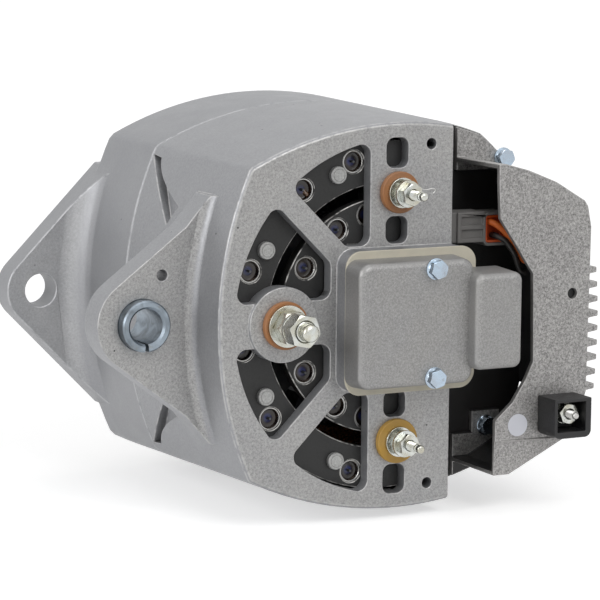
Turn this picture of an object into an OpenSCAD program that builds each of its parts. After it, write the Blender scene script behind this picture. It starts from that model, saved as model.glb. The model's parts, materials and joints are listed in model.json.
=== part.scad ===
// Heavy-duty hinge-mount vehicle alternator, built as an assembly.
// The shaft runs along Y. The drive end is +Y, the terminal end is -Y, +Z is up.
// The origin is on the shaft axis, at the shoulder where a pulley seats.
// Depths (d) inside the modules count from the rear face towards the drive end.

/* [Body] */
// Distance from the shaft axis to the body side that carries the ears
body_left = 92; // [90:0.5:96]
// Distance from the shaft axis to the other body side
body_right = 96; // [92:0.5:100]
// Half height of the body at the rear face
body_half_h = 93.5; // [91:0.5:98]
// Radius of each bulged side
side_bulge_r = 177; // [165:1:200]
// Reach of the blunted corners from the axis
corner_reach = 105.6; // [103:0.2:107]
// Growth of the body outline for each mm towards the drive end
draft = 0.032; // [0.02:0.002:0.04]
// Depth of the joint between the rear and the front housing
split_depth = 102; // [100:1:110]
// Depth at which the front housing starts to close in
shoulder_depth = 157; // [154:1:164]
// Depth of the front face
nose_depth = 170; // [168:1:174]
// Thickness of the rear end wall
end_wall = 6.7; // [5.5:0.1:7.5]
// Thickness of the front end wall
front_wall = 8; // [6:0.5:10]
// Depth of the step that the regulator bolts to
bay_depth = 32; // [28:1:36]
// Distance of the step's edge from the axis
bay_edge_x = 32; // [30:0.5:33]

/* [Hinge ears] */
// Distance from the shaft axis to the hinge bolt axis
hinge_x = 119.5; // [116:0.5:126]
// Diameter of the hinge bolt bore
hinge_bore_d = 16.7; // [15:0.1:18]
// Span between the bushing and the front ear
hinge_span = 101.6; // [99:0.2:104]
// Thickness of each ear
ear_thick = 16; // [14:0.5:18]
// Tip radius of the rear ear
rear_ear_tip_r = 22.5; // [20:0.5:25]
// Tip radius of the front ear
front_ear_tip_r = 18; // [16:0.5:21]
// Depth of the rear ear's rear face
rear_ear_depth = 26; // [22:1:30]
// Outer diameter of the split bushing
bushing_d = 24.4; // [22:0.2:26]
// Length of the split bushing
bushing_len = 32.4; // [28:0.2:36]
// Width of the bushing's slit
bushing_slit = 1.8; // [1:0.2:3]

/* [Stator and rotor] */
// Outer diameter of the stator core
stator_d = 172; // [168:1:174]
// Bore of the stator core
stator_bore_d = 118; // [112:1:122]
// Length of the stator core
stator_len = 44; // [38:1:48]
// Number of stator slots
stator_slots = 36; // [24:6:48]
// Air gap between the rotor and the stator
air_gap = 0.6; // [0.4:0.1:1]
// Length over the rotor poles
rotor_len = 58; // [50:1:62]
// Fingers on each pole half
claw_count = 8; // [6:1:8]
// Height of the end turns beyond the core
end_turn_h = 12; // [8:1:14]

/* [Shaft and bearings] */
// Diameter of the pulley seat
pulley_seat_d = 22.2; // [20:0.1:24]
// Diameter of the seat under the fan and its spacer
fan_seat_d = 23.4; // [22.6:0.1:24.4]
// Length of the pulley seat
pulley_seat_len = 36; // [30:1:40]
// Diameter of the threaded shaft end
shaft_thread_d = 19; // [16:0.5:20]
// Length of the threaded shaft end
shaft_thread_len = 22; // [18:1:26]
// Front bearing bore
front_bore = 25; // [25:0.5:28]
// Front bearing outer diameter
front_od = 62; // [58:0.5:64]
// Front bearing width
front_w = 17; // [15:0.5:18]
// Rear bearing bore
rear_bore = 17; // [15:0.5:18]
// Rear bearing outer diameter
rear_od = 40; // [38:0.5:42]
// Rear bearing width
rear_w = 12; // [11:0.5:13]
// Slip ring diameter
slip_ring_d = 27; // [24:0.5:28]
// Width of one slip ring
slip_ring_w = 7; // [6:0.5:8]

/* [Fan] */
// Fan diameter
fan_d = 138; // [120:1:146]
// Number of fan blades
fan_blades = 12; // [8:1:16]
// Height of the blades
blade_h = 15; // [10:1:15]
// Thickness of the fan disc
fan_disc = 3; // [2:0.5:4]
// Thickness of a blade
blade_t = 2.4; // [1.6:0.2:3]

/* [Rectifier] */
// Inner radius of the outer plate
outer_plate_in_r = 64.2; // [62:0.2:66]
// Outer radius of the inner plate
inner_plate_out_r = 57.3; // [55:0.2:59]
// Thickness of each rectifier plate
rectifier_t = 6; // [4:0.5:8]
// Diameter of a press-fit diode
diode_d = 11; // [9:0.2:11.4]
// Pitch radius of the outer diodes
outer_diode_r = 77; // [76:0.2:78]
// Pitch radius of the inner diodes
inner_diode_r = 50; // [48:0.5:50.5]

/* [Terminals] */
// Output stud diameter
output_stud_d = 9.5; // [8:0.5:10]
// Reach of the output stud from the rear face
output_reach = 30.7; // [27:0.5:34]
// Terminal stud diameter
terminal_stud_d = 4.8; // [4:0.2:6]
// Reach of the terminal studs from the rear face
terminal_reach = 26.3; // [22:0.5:30]
// Distance of each terminal from the shaft axis
terminal_z = 60.1; // [59:0.2:61]

/* [Brush cover] */
// Half height of the cover
cover_half_h = 30.5; // [30:0.5:32]
// Height of the raised pad under the gasket
pad_h = 10; // [8:0.5:12]
// Gasket thickness
gasket_t = 1.5; // [1:0.1:2]
// Height of the cover over the gasket
cover_h = 14; // [12:0.5:16]
// Height of the raised block over the cover
block_h = 7.5; // [5:0.5:9]
// Half height of the raised block
block_half_h = 23.7; // [22:0.5:24.5]
// Reach of the raised block from the shaft axis
block_x = 53.5; // [51:0.5:55]
// Cover wall thickness
cover_wall = 2.5; // [2:0.1:3]

/* [Regulator housing] */
// Height of the finned plate's face above the rear face
regulator_face = 12; // [11:0.5:14]
// Plate thickness
regulator_plate = 2.8; // [2.4:0.1:3.4]
// Wall thickness
regulator_wall = 2.2; // [1.8:0.1:2.6]
// Height of the top wall above the shaft axis
regulator_top = 72.5; // [70:0.5:74]
// Distance of the bottom wall below the shaft axis
regulator_bottom = 80; // [78:0.5:82]
// Number of cooling fins
fin_count = 9; // [5:1:9]
// Pitch of the cooling fins
fin_pitch = 7.25; // [7:0.05:7.4]
// Thickness of a fin at its tip
fin_tip = 2.7; // [2:0.1:3]
// Thickness of a fin at its root
fin_root = 4.6; // [3.6:0.1:5]
// Fin height
fin_h = 6; // [4:0.5:7]

/* [Hidden] */

$fn = 96;
fan_gap = 7;
fan_hub_lip = 5;
seat_depth = nose_depth + fan_gap + blade_h + fan_disc + fan_hub_lip;
running = 0.05;
seat_gap = 0.02;
tap = 0.02;
overcut = 1;

// Outline of the castings
left_arc_x = side_bulge_r - body_left;
right_arc_x = body_right - side_bulge_r;
top_arc_x = 5;
top_arc_z = body_half_h - side_bulge_r;
edge_break = 1.2;
body_half = 120;
groove = 0.8;
nose_inset = 8;

// Inside of the castings
stator_r = stator_d / 2;
stator_start = split_depth - stator_len;
shell_r = stator_r - 4;
chamber_edge_x = bay_edge_x - 5;
chamber_r = stator_r;
bay_floor = 6;
rear_hub_r = rear_od / 2 + 7;
rear_bearing_start = 24;
hub_end = rear_bearing_start + rear_w + 2;
front_bearing_start = nose_depth - 7 - front_w;
front_hub_r = front_od / 2 + 8;
lip_r = front_od / 2 - 5;
stop_r = rear_od / 2 - 4;

// Through bolts
bolt_d = 6;
bolt_margin = 6;
bolt_reach = stator_r + bolt_d / 2 + bolt_margin;
bolt_angles = [45, 135, 225, 315];
bolt_head_af = 10;
bolt_head_h = 5;
bolt_seat = shoulder_depth - 2;
bolt_tip = 60;
bolt_pocket_r = 9;

// Rear face windows, as half outlines above the shaft axis
window_edge_x = -13;
spoke_half = 5.5;
spoke_line = 1.75;
window_in_z = 35.2;
window_low_x = -33.8;
window_low_z = 10.7;
window_ring_r = 85.6;
window_ring_x = 1.5;
window_corner = 5;
corner_bite = 0.06;
boss_r = 18;
boss_h = 1.5;
output_x = -59;

slot_x = 1.5;
slot_w = 11.8;
outer_slot_z = 78.9;
outer_slot_h = 14.3;
inner_slot_z = 42;
inner_slot_h = 12.9;
slot_corner = 4;
tapped_x = 20;
tapped_z = 82.6;
tapped_d = 5.2;
tapped_depth = 14;
ear_hole_x = -109.1;
ear_hole_z = 22.9;

// Ears, with the upper edge of each outline from its tip to its root
rear_ear_edge = [[-96.8, 45.3], [-84.6, 59.6]];
front_ear_edge = [[-83.2, 62.9]];
ear_inner_x = -70;
rear_ear_fillet_r = 6;
front_ear_fillet_r = 14;
fillet_sink = 0.15;
bushing_recess = 9;
front_ear_depth = nose_depth - ear_thick;
bushing_start = front_ear_depth - hinge_span - bushing_len;

// Flats in the side behind the rear ear, as depths and heights
flat_corner = [rear_ear_depth + ear_thick + 2, 66.5];
flat_far = [split_depth - 10, 71.4];
flat_low = [rear_ear_depth + ear_thick + 16, 51];
flat_sink = 2.5;

// Terminal parts, heights above the rear face
insulator_t = 3;
output_sleeve_r = 7.4;
output_washer_t = 1.8;
output_nut_af = 14.3;
lower_nut_t = 7;
lock_washer_t = 2.1;
stud_chamfer = 1.5;
output_tip_d = output_stud_d - 0.9;
upper_nut_t = 8.4;
terminal_x = 2;
terminal_sleeve_r = 4;

// Pad, cavity and brushes
pad_left = -30.5;
pad_right = 38;
pad_half_h = 34;
pad_corner = 8;
chamber_left = -16;
chamber_right = 34;
chamber_half_h = 15;
brush_chamber_depth = 21;
cover_screw_x = 8.5;
cover_screw_z = 26;
cover_screw_d = 4.2;
brush_w = 6;
brush_h = 8;
brush_len = 10;
brush_clear = 0.15;
first_ring = 2;
ring_pitch = slip_ring_w + 2;
holder_left = slip_ring_d / 2 + 1.5;
holder_half_h = 11;
spring_wire = 0.8;
spring_r = 2.6;
spring_turns = 5;

// Regulator housing outline
regulator_left = 51;
regulator_right = 102;
fin_centre_z = -10.2;
fin_bow_r = 300;
flange_t = 3;
flange_screw_places = [[77.4, 71.5], [70, -63]];
foot_half_w = 8;
block_stud_x = 86.6;
block_stud_z = -50;
access_hole = [93.8, 7.7];
access_hole_r = 2.65;
rib_h = 0.5;
rib_w = 0.9;
rib_left = [54, -63.2];
rib_right = [95, -64.4];
facet_step = 0.5;
facet_slope = 0.04;

// Output stack depths, counted outwards from the boss
output_base = -boss_h;
output_flat = output_base - insulator_t;
output_lower_nut = output_flat - output_washer_t;
output_lock = output_lower_nut - lower_nut_t;
output_upper_nut = output_lock - lock_washer_t;
output_top = output_upper_nut - upper_nut_t;

module placed() {
    translate([0, -seat_depth, 0]) children();
}

// A flat outline in X and Z, extruded between two depths
module along_y(d0, d1) {
    translate([0, d1, 0]) rotate([90, 0, 0]) linear_extrude(d1 - d0) children();
}

module rod(d0, d1, r, x = 0, z = 0) {
    translate([x, d0, z]) rotate([-90, 0, 0]) cylinder(h = d1 - d0, r = r);
}

module frustum(d0, d1, r0, r1, x = 0, z = 0) {
    translate([x, d0, z]) rotate([-90, 0, 0]) cylinder(h = d1 - d0, r1 = r0, r2 = r1);
}

module tube(d0, d1, r_in, r_out, x = 0, z = 0) {
    difference() {
        rod(d0, d1, r_out, x, z);
        rod(d0 - overcut, d1 + overcut, r_in, x, z);
    }
}

module hexagon(d0, d1, af, x = 0, z = 0, turn = 0) {
    translate([x, d0, z]) rotate([-90, 0, 0]) rotate([0, 0, turn])
        cylinder(h = d1 - d0, d = af / cos(30), $fn = 6);
}

module block(d0, d1, x0, x1, z0, z1) {
    translate([x0, d0, z0]) cube([x1 - x0, d1 - d0, z1 - z0]);
}

module rounded_rect(x0, x1, z0, z1, r) {
    union() {
        translate([x0 + r, z0]) square([x1 - x0 - 2 * r, z1 - z0]);
        translate([x0, z0 + r]) square([x1 - x0, z1 - z0 - 2 * r]);
        for (x = [x0 + r, x1 - r])
            for (z = [z0 + r, z1 - r])
                translate([x, z]) circle(r);
    }
}

module upper_and_lower() {
    children();
    mirror([0, 0, 1]) children();
}

module upper_and_lower_flat() {
    children();
    mirror([0, 1]) children();
}

// The bulged body between two depths, with its outline grown by g0 and g1
module bulged(d0, d1, g0, g1) {
    intersection() {
        frustum(d0, d1, side_bulge_r + g0, side_bulge_r + g1, left_arc_x, 0);
        frustum(d0, d1, side_bulge_r + g0, side_bulge_r + g1, right_arc_x, 0);
        frustum(d0, d1, side_bulge_r + g0, side_bulge_r + g1, top_arc_x, top_arc_z);
        frustum(d0, d1, side_bulge_r + g0, side_bulge_r + g1, top_arc_x, -top_arc_z);
        frustum(d0, d1, corner_reach + g0, corner_reach + g1);
    }
}

function tangent_point(c, r, p, side) =
    let (v = p - c, a = atan2(v[1], v[0]) + side * acos(r / norm(v)))
    c + r * [cos(a), sin(a)];

// Half of an ear's outline is its tip and the points of its upper edge
module ear_outline(tip_r, edge) {
    tip = [-hinge_x, 0];
    root = edge[len(edge) - 1];
    upper_and_lower_flat() {
        translate(tip) circle(tip_r);
        polygon(concat(
            [[ear_inner_x, -overcut], tip - [0, overcut], tip, tangent_point(tip, tip_r, edge[0], 1)],
            edge, [[ear_inner_x, root[1]]]
        ));
    }
}

// A fillet between an ear's rear face and the bulged side, whose end dips a little under the side
module ear_fillet(face_depth, r, tip_r, edge) {
    side_r = side_bulge_r + draft * (face_depth - r) - fillet_sink;
    intersection() {
        translate([left_arc_x, face_depth, 0])
            rotate([90, 0, 0])
                rotate_extrude()
                    difference() {
                        translate([side_r - 1, -1]) square([r + 1, r + 1]);
                        translate([side_r + r, r]) circle(r);
                    }
        along_y(face_depth - r, face_depth + 1) ear_outline(tip_r, edge);
    }
}

// Corners of the windows on the slanted spoke, and the directions along and across it
along_spoke = [-1, 1] / sqrt(2);
across_spoke = [1, 1] / sqrt(2);
upper_spoke_at = spoke_line + spoke_half * sqrt(2);
lower_spoke_at = spoke_line - spoke_half * sqrt(2);
upper_in = [window_edge_x, window_in_z];
upper_low = [upper_spoke_at - window_in_z, window_in_z];
lower_in = [window_low_x, window_low_z];
lower_top = [window_low_x, lower_spoke_at - window_low_x];

module upper_window_outline() {
    polygon([upper_in, upper_in + [0, chamber_r], upper_low + 2 * chamber_r * along_spoke, upper_low]);
}

module lower_window_outline() {
    polygon([lower_in, lower_top, lower_top + 2 * chamber_r * along_spoke, lower_in - [2 * chamber_r, 0]]);
}

// The metal left in a window's corner p, between the directions u and v
module corner_fill(p, u, v) {
    half = acos(u * v) / 2;
    bisector = (u + v) / norm(u + v);
    reach = window_corner / tan(half);
    centre = p + bisector * window_corner / sin(half);
    difference() {
        polygon([p - bisector, p + reach * u, centre, p + reach * v]);
        translate(centre) circle(window_corner);
    }
}

// The metal left where a window's side through q, along u, meets the ring, with n into the window.
// Its arc is cut a little wider than it should be, to cross the ring clearly.
module ring_fill(q, u, n) {
    ring = [window_ring_x, 0];
    w = q + window_corner * n - ring;
    along = sqrt(pow(w * u, 2) - w * w + pow(window_ring_r - window_corner, 2)) - w * u;
    centre = q + window_corner * n + along * u;
    side = centre - (window_corner + 1) * n;
    difference() {
        polygon([
            centre, side, side + 3 * window_corner * u,
            centre + 3 * window_corner * (centre - ring) / norm(centre - ring)
        ]);
        translate(centre) circle(window_corner + corner_bite);
    }
}

module rear_windows() {
    upper_and_lower() {
        difference() {
            intersection() {
                along_y(-overcut, end_wall + overcut) upper_window_outline();
                rod(-overcut, end_wall + overcut, window_ring_r, window_ring_x);
            }
            along_y(-2 * overcut, end_wall + 2 * overcut) {
                corner_fill(upper_in, [-1, 0], [0, 1]);
                corner_fill(upper_low, [1, 0], along_spoke);
                ring_fill(upper_in, [0, 1], [-1, 0]);
                ring_fill(upper_low, along_spoke, across_spoke);
            }
        }
        difference() {
            intersection() {
                along_y(-overcut, end_wall + overcut) lower_window_outline();
                rod(-overcut, end_wall + overcut, window_ring_r, window_ring_x);
            }
            along_y(-2 * overcut, end_wall + 2 * overcut) {
                translate([output_x, 0]) circle(boss_r);
                corner_fill(lower_in, [-1, 0], [0, 1]);
                corner_fill(lower_top, [0, -1], along_spoke);
                ring_fill(lower_top, along_spoke, -across_spoke);
                ring_fill(lower_in, [-1, 0], [0, 1]);
            }
        }
    }
}

function side_point(p, sink) =
    [left_arc_x - sqrt(pow(side_bulge_r + draft * p[0], 2) - p[1] * p[1]) + sink, p[0], p[1]];

// A flat that sinks into the side behind the ear, from nothing at its far and low ends
module side_flat() {
    far = side_point(flat_far, 0);
    low = side_point(flat_low, 0);
    deep = side_point(flat_corner, flat_sink);
    e = (low - far) / norm(low - far);
    n = cross(deep - far, e) / norm(cross(deep - far, e));
    f = cross(n, e);
    size = split_depth;
    intersection() {
        multmatrix([
            [e[0], f[0], n[0], far[0]], [e[1], f[1], n[1], far[1]], [e[2], f[2], n[2], far[2]], [0, 0, 0, 1]
        ])
            translate([-size, -size, 0]) cube([2 * size, 2 * size, 2 * flat_sink]);
        translate([far[0] - size / 2, 0, 0]) rotate([90, 0, 90]) linear_extrude(size)
            polygon([flat_corner, 1.2 * flat_far - 0.2 * flat_corner, 1.6 * flat_low - 0.6 * flat_corner]);
    }
}

module rear_casting() {
    top = split_depth - groove;
    difference() {
        union() {
            bulged(0, edge_break, -edge_break, draft * edge_break);
            bulged(edge_break, top, draft * edge_break, draft * top);
            bulged(top, split_depth, draft * top, draft * split_depth - groove);
        }
        block(-overcut, bay_depth, bay_edge_x, body_half, -body_half, body_half);
        upper_and_lower() side_flat();
    }
    along_y(rear_ear_depth, rear_ear_depth + ear_thick)
        ear_outline(rear_ear_tip_r, rear_ear_edge);
    ear_fillet(rear_ear_depth, rear_ear_fillet_r, rear_ear_tip_r, rear_ear_edge);
    along_y(-pad_h, 1)
        rounded_rect(pad_left, pad_right, -pad_half_h, pad_half_h, pad_corner);
    block(0, bay_depth + 1, bay_edge_x - 1, pad_right, -chamber_half_h - 4, chamber_half_h + 4);
    rod(-boss_h, 1, boss_r, output_x);
}

module rear_cavities() {
    intersection() {
        rod(end_wall, bay_depth + bay_floor, chamber_r);
        block(0, bay_depth + bay_floor + overcut, -body_half, chamber_edge_x, -body_half, body_half);
    }
    rod(bay_depth + bay_floor - overcut, stator_start, shell_r);
    rod(stator_start, split_depth + overcut, stator_r);
}

module rear_housing() color("gainsboro") placed() {
    difference() {
        union() {
            difference() {
                rear_casting();
                rear_cavities();
            }
            rod(1, hub_end, rear_hub_r);
            block(1, bay_depth + bay_floor, chamber_left - 4, chamber_edge_x + 1, -chamber_half_h - 4,
                  chamber_half_h + 4);
        }
        rear_windows();
        block(-pad_h - overcut, brush_chamber_depth, chamber_left, chamber_right, -chamber_half_h,
              chamber_half_h);
        rod(brush_chamber_depth - overcut, hub_end + overcut, stop_r);
        rod(rear_bearing_start, hub_end + overcut, rear_od / 2);
        rod(-boss_h - overcut, end_wall + 4, output_sleeve_r + seat_gap, output_x);
        rod(rear_ear_depth - overcut - bushing_recess, rear_ear_depth + ear_thick + overcut,
            bushing_d / 2 + running, -hinge_x);
        rod(rear_ear_depth - overcut, rear_ear_depth + ear_thick + overcut, tapped_d / 2, ear_hole_x,
            ear_hole_z);
        upper_and_lower() {
            along_y(-overcut, end_wall + overcut) {
                rounded_rect(slot_x - slot_w / 2, slot_x + slot_w / 2,
                             outer_slot_z - outer_slot_h / 2, outer_slot_z + outer_slot_h / 2, slot_corner);
                rounded_rect(slot_x - slot_w / 2, slot_x + slot_w / 2,
                             inner_slot_z - inner_slot_h / 2, inner_slot_z + inner_slot_h / 2, slot_corner);
            }
            rod(-overcut, tapped_depth, tapped_d / 2, tapped_x, tapped_z);
            rod(-overcut, end_wall + overcut, terminal_sleeve_r + seat_gap, terminal_x, terminal_z);
            rod(-pad_h - overcut, 2, cover_screw_d / 2 + tap, cover_screw_x, cover_screw_z);
        }
        for (p = flange_screw_places)
            rod(bay_depth - overcut, bay_depth + bay_floor + 2, cover_screw_d / 2 + tap, p[0], p[1]);
        for (p = rectifier_bolt_places)
            rod(2, end_wall + overcut, rectifier_bolt_d / 2 + tap, p[0], p[1]);
        for (a = bolt_angles)
            rod(bolt_tip - 4, split_depth + overcut, bolt_d / 2 + tap,
                bolt_reach * cos(a), bolt_reach * sin(a));
    }
}

module front_casting() {
    low = split_depth + groove;
    bulged(split_depth, low, draft * split_depth - groove, draft * low);
    bulged(low, shoulder_depth, draft * low, draft * shoulder_depth);
    bulged(shoulder_depth, nose_depth, draft * shoulder_depth, draft * shoulder_depth - nose_inset);
    along_y(front_ear_depth, nose_depth)
        ear_outline(front_ear_tip_r, front_ear_edge);
    ear_fillet(front_ear_depth, front_ear_fillet_r, front_ear_tip_r, front_ear_edge);
}

module front_vents() {
    for (i = [0:11])
        rotate([0, 30 * i, 0])
            intersection() {
                tube(nose_depth - front_wall - overcut, nose_depth + overcut, front_hub_r + 6, fan_d / 2 + 8);
                block(nose_depth - front_wall - overcut, nose_depth + overcut, -8, 8, 0, 120);
            }
}

module front_housing() color("silver") placed() {
    inner = nose_depth - front_wall;
    difference() {
        union() {
            difference() {
                front_casting();
                rod(split_depth - overcut, inner, shell_r);
                front_vents();
            }
            rod(front_bearing_start - 4, nose_depth, front_hub_r);
        }
        rod(front_bearing_start - 4 - overcut, front_bearing_start + front_w, front_od / 2);
        rod(front_bearing_start, nose_depth + overcut, lip_r);
        rod(front_ear_depth - overcut, nose_depth + overcut, hinge_bore_d / 2, -hinge_x);
        for (a = bolt_angles) {
            rod(split_depth - overcut, nose_depth, bolt_d / 2 + running, bolt_reach * cos(a),
                bolt_reach * sin(a));
            rod(bolt_seat, nose_depth + overcut, bolt_pocket_r, bolt_reach * cos(a), bolt_reach * sin(a));
        }
        for (a = retainer_angles)
            rod(front_bearing_start - 4 - overcut, nose_depth - 3, retainer_screw_d / 2 + tap,
                retainer_reach * cos(a), retainer_reach * sin(a));
    }
}

module through_bolts() color("lightsteelblue") placed() {
    for (a = bolt_angles) {
        rod(bolt_tip, bolt_seat, bolt_d / 2, bolt_reach * cos(a), bolt_reach * sin(a));
        hexagon(bolt_seat, bolt_seat + bolt_head_h, bolt_head_af, bolt_reach * cos(a), bolt_reach * sin(a));
    }
}

module hinge_bushing() color("lightblue") placed() {
    difference() {
        tube(bushing_start, bushing_start + bushing_len, hinge_bore_d / 2, bushing_d / 2, -hinge_x);
        block(bushing_start - overcut, bushing_start + bushing_len + overcut,
              -hinge_x - bushing_slit / 2, -hinge_x + bushing_slit / 2, -bushing_d, 0);
    }
}

// Stator
slot_depth = 15;
slot_width = 4.6;
slot_clear = 0.3;

module stator_core() color("dimgray") placed() {
    difference() {
        tube(stator_start, split_depth, stator_bore_d / 2, stator_r);
        for (i = [0:stator_slots - 1])
            rotate([0, 360 / stator_slots * i, 0])
                block(stator_start - overcut, split_depth + overcut, -slot_width / 2, slot_width / 2,
                      stator_bore_d / 2 - overcut, stator_bore_d / 2 + slot_depth);
    }
}

module stator_windings() color("peru") placed() {
    r_in = stator_bore_d / 2 + 2;
    r_out = stator_bore_d / 2 + slot_depth;
    intersection() {
        for (i = [0:stator_slots - 1])
            rotate([0, 360 / stator_slots * i, 0])
                block(stator_start - end_turn_h + 1, split_depth + end_turn_h - 1,
                      -slot_width / 2 + slot_clear, slot_width / 2 - slot_clear, r_in, r_out - slot_clear);
        rod(stator_start - end_turn_h, split_depth + end_turn_h, r_out);
    }
    tube(stator_start - end_turn_h, stator_start - 1, r_in, r_out + 2);
    tube(split_depth + 1, split_depth + end_turn_h, r_in, r_out + 2);
}

// Rotor
rotor_mid = (stator_start + split_depth) / 2;
rotor_r = stator_bore_d / 2 - air_gap;
pole_disc_t = 13;
finger_t = 9;
core_r = 27;
coil_r = rotor_r - finger_t - 1;
pole_disc_r = rotor_r - finger_t - 3;
core_half = rotor_len / 2 - pole_disc_t;
shaft_r = 15;
shaft_chamfer = 1.5;
finger_root = 15;
finger_tip = 7;

module claw(reach) {
    taper_start = pole_disc_t - 3;
    translate([-pole_disc_r + 4, 0, 0])
        rotate([0, -90, 0])
            linear_extrude(30)
                polygon([
                    [-finger_root / 2, 0], [finger_root / 2, 0], [finger_root / 2, taper_start],
                    [finger_tip / 2, reach], [-finger_tip / 2, reach], [-finger_root / 2, taper_start]
                ]);
}

module pole_half() {
    reach = rotor_len - 3;
    difference() {
        intersection() {
            union() {
                rod(0, pole_disc_t, pole_disc_r);
                for (i = [0:claw_count - 1])
                    rotate([0, 360 / claw_count * i, 0])
                        claw(reach);
            }
            rod(-overcut, reach + overcut, rotor_r);
        }
        rod(pole_disc_t, reach + overcut, rotor_r - finger_t);
        rod(-overcut, pole_disc_t + overcut, shaft_r);
    }
}

module rear_pole_half() color("darkslategray") placed()
    translate([0, rotor_mid - rotor_len / 2, 0])
        pole_half();

module front_pole_half() color("darkslategray") placed()
    translate([0, rotor_mid + rotor_len / 2, 0])
        rotate([0, 180 / claw_count, 0])
            rotate([180, 0, 0])
                pole_half();

module rotor_core() color("slategray") placed()
    tube(rotor_mid - core_half, rotor_mid + core_half, shaft_r, core_r);

module field_coil() color("saddlebrown") placed()
    tube(rotor_mid - core_half + 1, rotor_mid + core_half - 1, core_r, coil_r - 1);

module rotor_shaft() color("lightgray") placed() {
    rear_journal = rear_bore / 2;
    front_end = seat_depth + pulley_seat_len;
    rod(first_ring - 1, rear_bearing_start, slip_bore_r);
    rod(rear_bearing_start - 0.01, rear_bearing_start + rear_w, rear_journal);
    rod(rear_bearing_start + rear_w, front_bearing_start, shaft_r);
    rod(front_bearing_start, front_bearing_start + front_w, front_bore / 2);
    rod(front_bearing_start + front_w, seat_depth, fan_seat_d / 2);
    rod(seat_depth, front_end, pulley_seat_d / 2);
    rod(front_end, front_end + shaft_thread_len - shaft_chamfer, shaft_thread_d / 2);
    frustum(front_end + shaft_thread_len - shaft_chamfer, front_end + shaft_thread_len,
            shaft_thread_d / 2, shaft_thread_d / 2 - shaft_chamfer);
}

// Slip rings
slip_bore_r = 7;
slip_hub_r = slip_ring_d / 2 - 2.5;

module slip_ring_hub() color("black") placed()
    tube(first_ring, first_ring + ring_pitch + slip_ring_w, slip_bore_r, slip_hub_r);

module slip_rings() color("goldenrod") placed()
    for (i = [0, 1])
        tube(first_ring + i * ring_pitch, first_ring + i * ring_pitch + slip_ring_w, slip_hub_r,
             slip_ring_d / 2);

// Ball bearings
ball_gap = 0.05;
cage_rim = 1.2;

module race_cut(start, w, pitch_r, ball_r) {
    translate([0, start + w / 2, 0]) rotate([90, 0, 0])
        rotate_extrude() translate([pitch_r, 0]) circle(ball_r + ball_gap);
}

module outer_ring(start, w, bore, od, ball_r) {
    pitch_r = (bore + od) / 4;
    difference() {
        tube(start, start + w, pitch_r + ball_r * 0.45, od / 2);
        race_cut(start, w, pitch_r, ball_r);
    }
}

module inner_ring(start, w, bore, od, ball_r) {
    pitch_r = (bore + od) / 4;
    difference() {
        tube(start, start + w, bore / 2, pitch_r - ball_r * 0.45);
        race_cut(start, w, pitch_r, ball_r);
    }
}

module ball_set(start, w, bore, od, ball_r, count) {
    pitch_r = (bore + od) / 4;
    for (i = [0:count - 1])
        rotate([0, 360 / count * i, 0]) translate([pitch_r, start + w / 2, 0]) sphere(ball_r);
}

module ball_cage(start, w, bore, od, ball_r, count) {
    pitch_r = (bore + od) / 4;
    half_w = ball_r + cage_rim;
    half_h = ball_r * 0.3;
    difference() {
        tube(start + w / 2 - half_w, start + w / 2 + half_w, pitch_r - half_h, pitch_r + half_h);
        for (i = [0:count - 1])
            rotate([0, 360 / count * i, 0])
                translate([pitch_r - 2 * half_h, start + w / 2, 0])
                    rotate([0, 90, 0])
                        cylinder(h = 4 * half_h, r = ball_r + ball_gap);
    }
}

front_ball_r = 5.5;
front_ball_n = 7;
rear_ball_r = 3.3;
rear_ball_n = 8;

module front_bearing_outer_ring() color("silver") placed()
    outer_ring(front_bearing_start, front_w, front_bore, front_od, front_ball_r);

module front_bearing_inner_ring() color("silver") placed()
    inner_ring(front_bearing_start, front_w, front_bore, front_od, front_ball_r);

module front_bearing_balls() color("whitesmoke") placed()
    ball_set(front_bearing_start, front_w, front_bore, front_od, front_ball_r, front_ball_n);

module front_bearing_cage() color("khaki") placed()
    ball_cage(front_bearing_start, front_w, front_bore, front_od, front_ball_r, front_ball_n);

module rear_bearing_outer_ring() color("silver") placed()
    outer_ring(rear_bearing_start, rear_w, rear_bore, rear_od, rear_ball_r);

module rear_bearing_inner_ring() color("silver") placed()
    inner_ring(rear_bearing_start, rear_w, rear_bore, rear_od, rear_ball_r);

module rear_bearing_balls() color("whitesmoke") placed()
    ball_set(rear_bearing_start, rear_w, rear_bore, rear_od, rear_ball_r, rear_ball_n);

module rear_bearing_cage() color("khaki") placed()
    ball_cage(rear_bearing_start, rear_w, rear_bore, rear_od, rear_ball_r, rear_ball_n);

// Bearing retainer
retainer_angles = [45, 135, 225, 315];
retainer_reach = front_od / 2 + 4;
retainer_screw_d = 4;
retainer_t = 3;
retainer_face = front_bearing_start - 4;

module bearing_retainer() color("lightgray") placed() {
    difference() {
        union() {
            tube(retainer_face - retainer_t, retainer_face, lip_r, front_hub_r);
            tube(retainer_face, front_bearing_start, lip_r, front_od / 2 - 0.3);
        }
        for (a = retainer_angles)
            rod(retainer_face - retainer_t - overcut, retainer_face + overcut, retainer_screw_d / 2 + running,
                retainer_reach * cos(a), retainer_reach * sin(a));
    }
}

module retainer_screws() color("lightsteelblue") placed() {
    for (a = retainer_angles) {
        x = retainer_reach * cos(a);
        z = retainer_reach * sin(a);
        rod(retainer_face - retainer_t, retainer_face + 12, retainer_screw_d / 2, x, z);
        rod(retainer_face - retainer_t - 2.4, retainer_face - retainer_t, 3.4, x, z);
    }
}

// Fan and its spacer
fan_hub_r = 22;
fan_hub_t = 14;
fan_back = seat_depth - fan_hub_t;
fan_disc_d = seat_depth - fan_hub_lip;

module fan_spacer() color("silver") placed()
    tube(front_bearing_start + front_w, fan_back, fan_seat_d / 2, 17);

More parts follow.
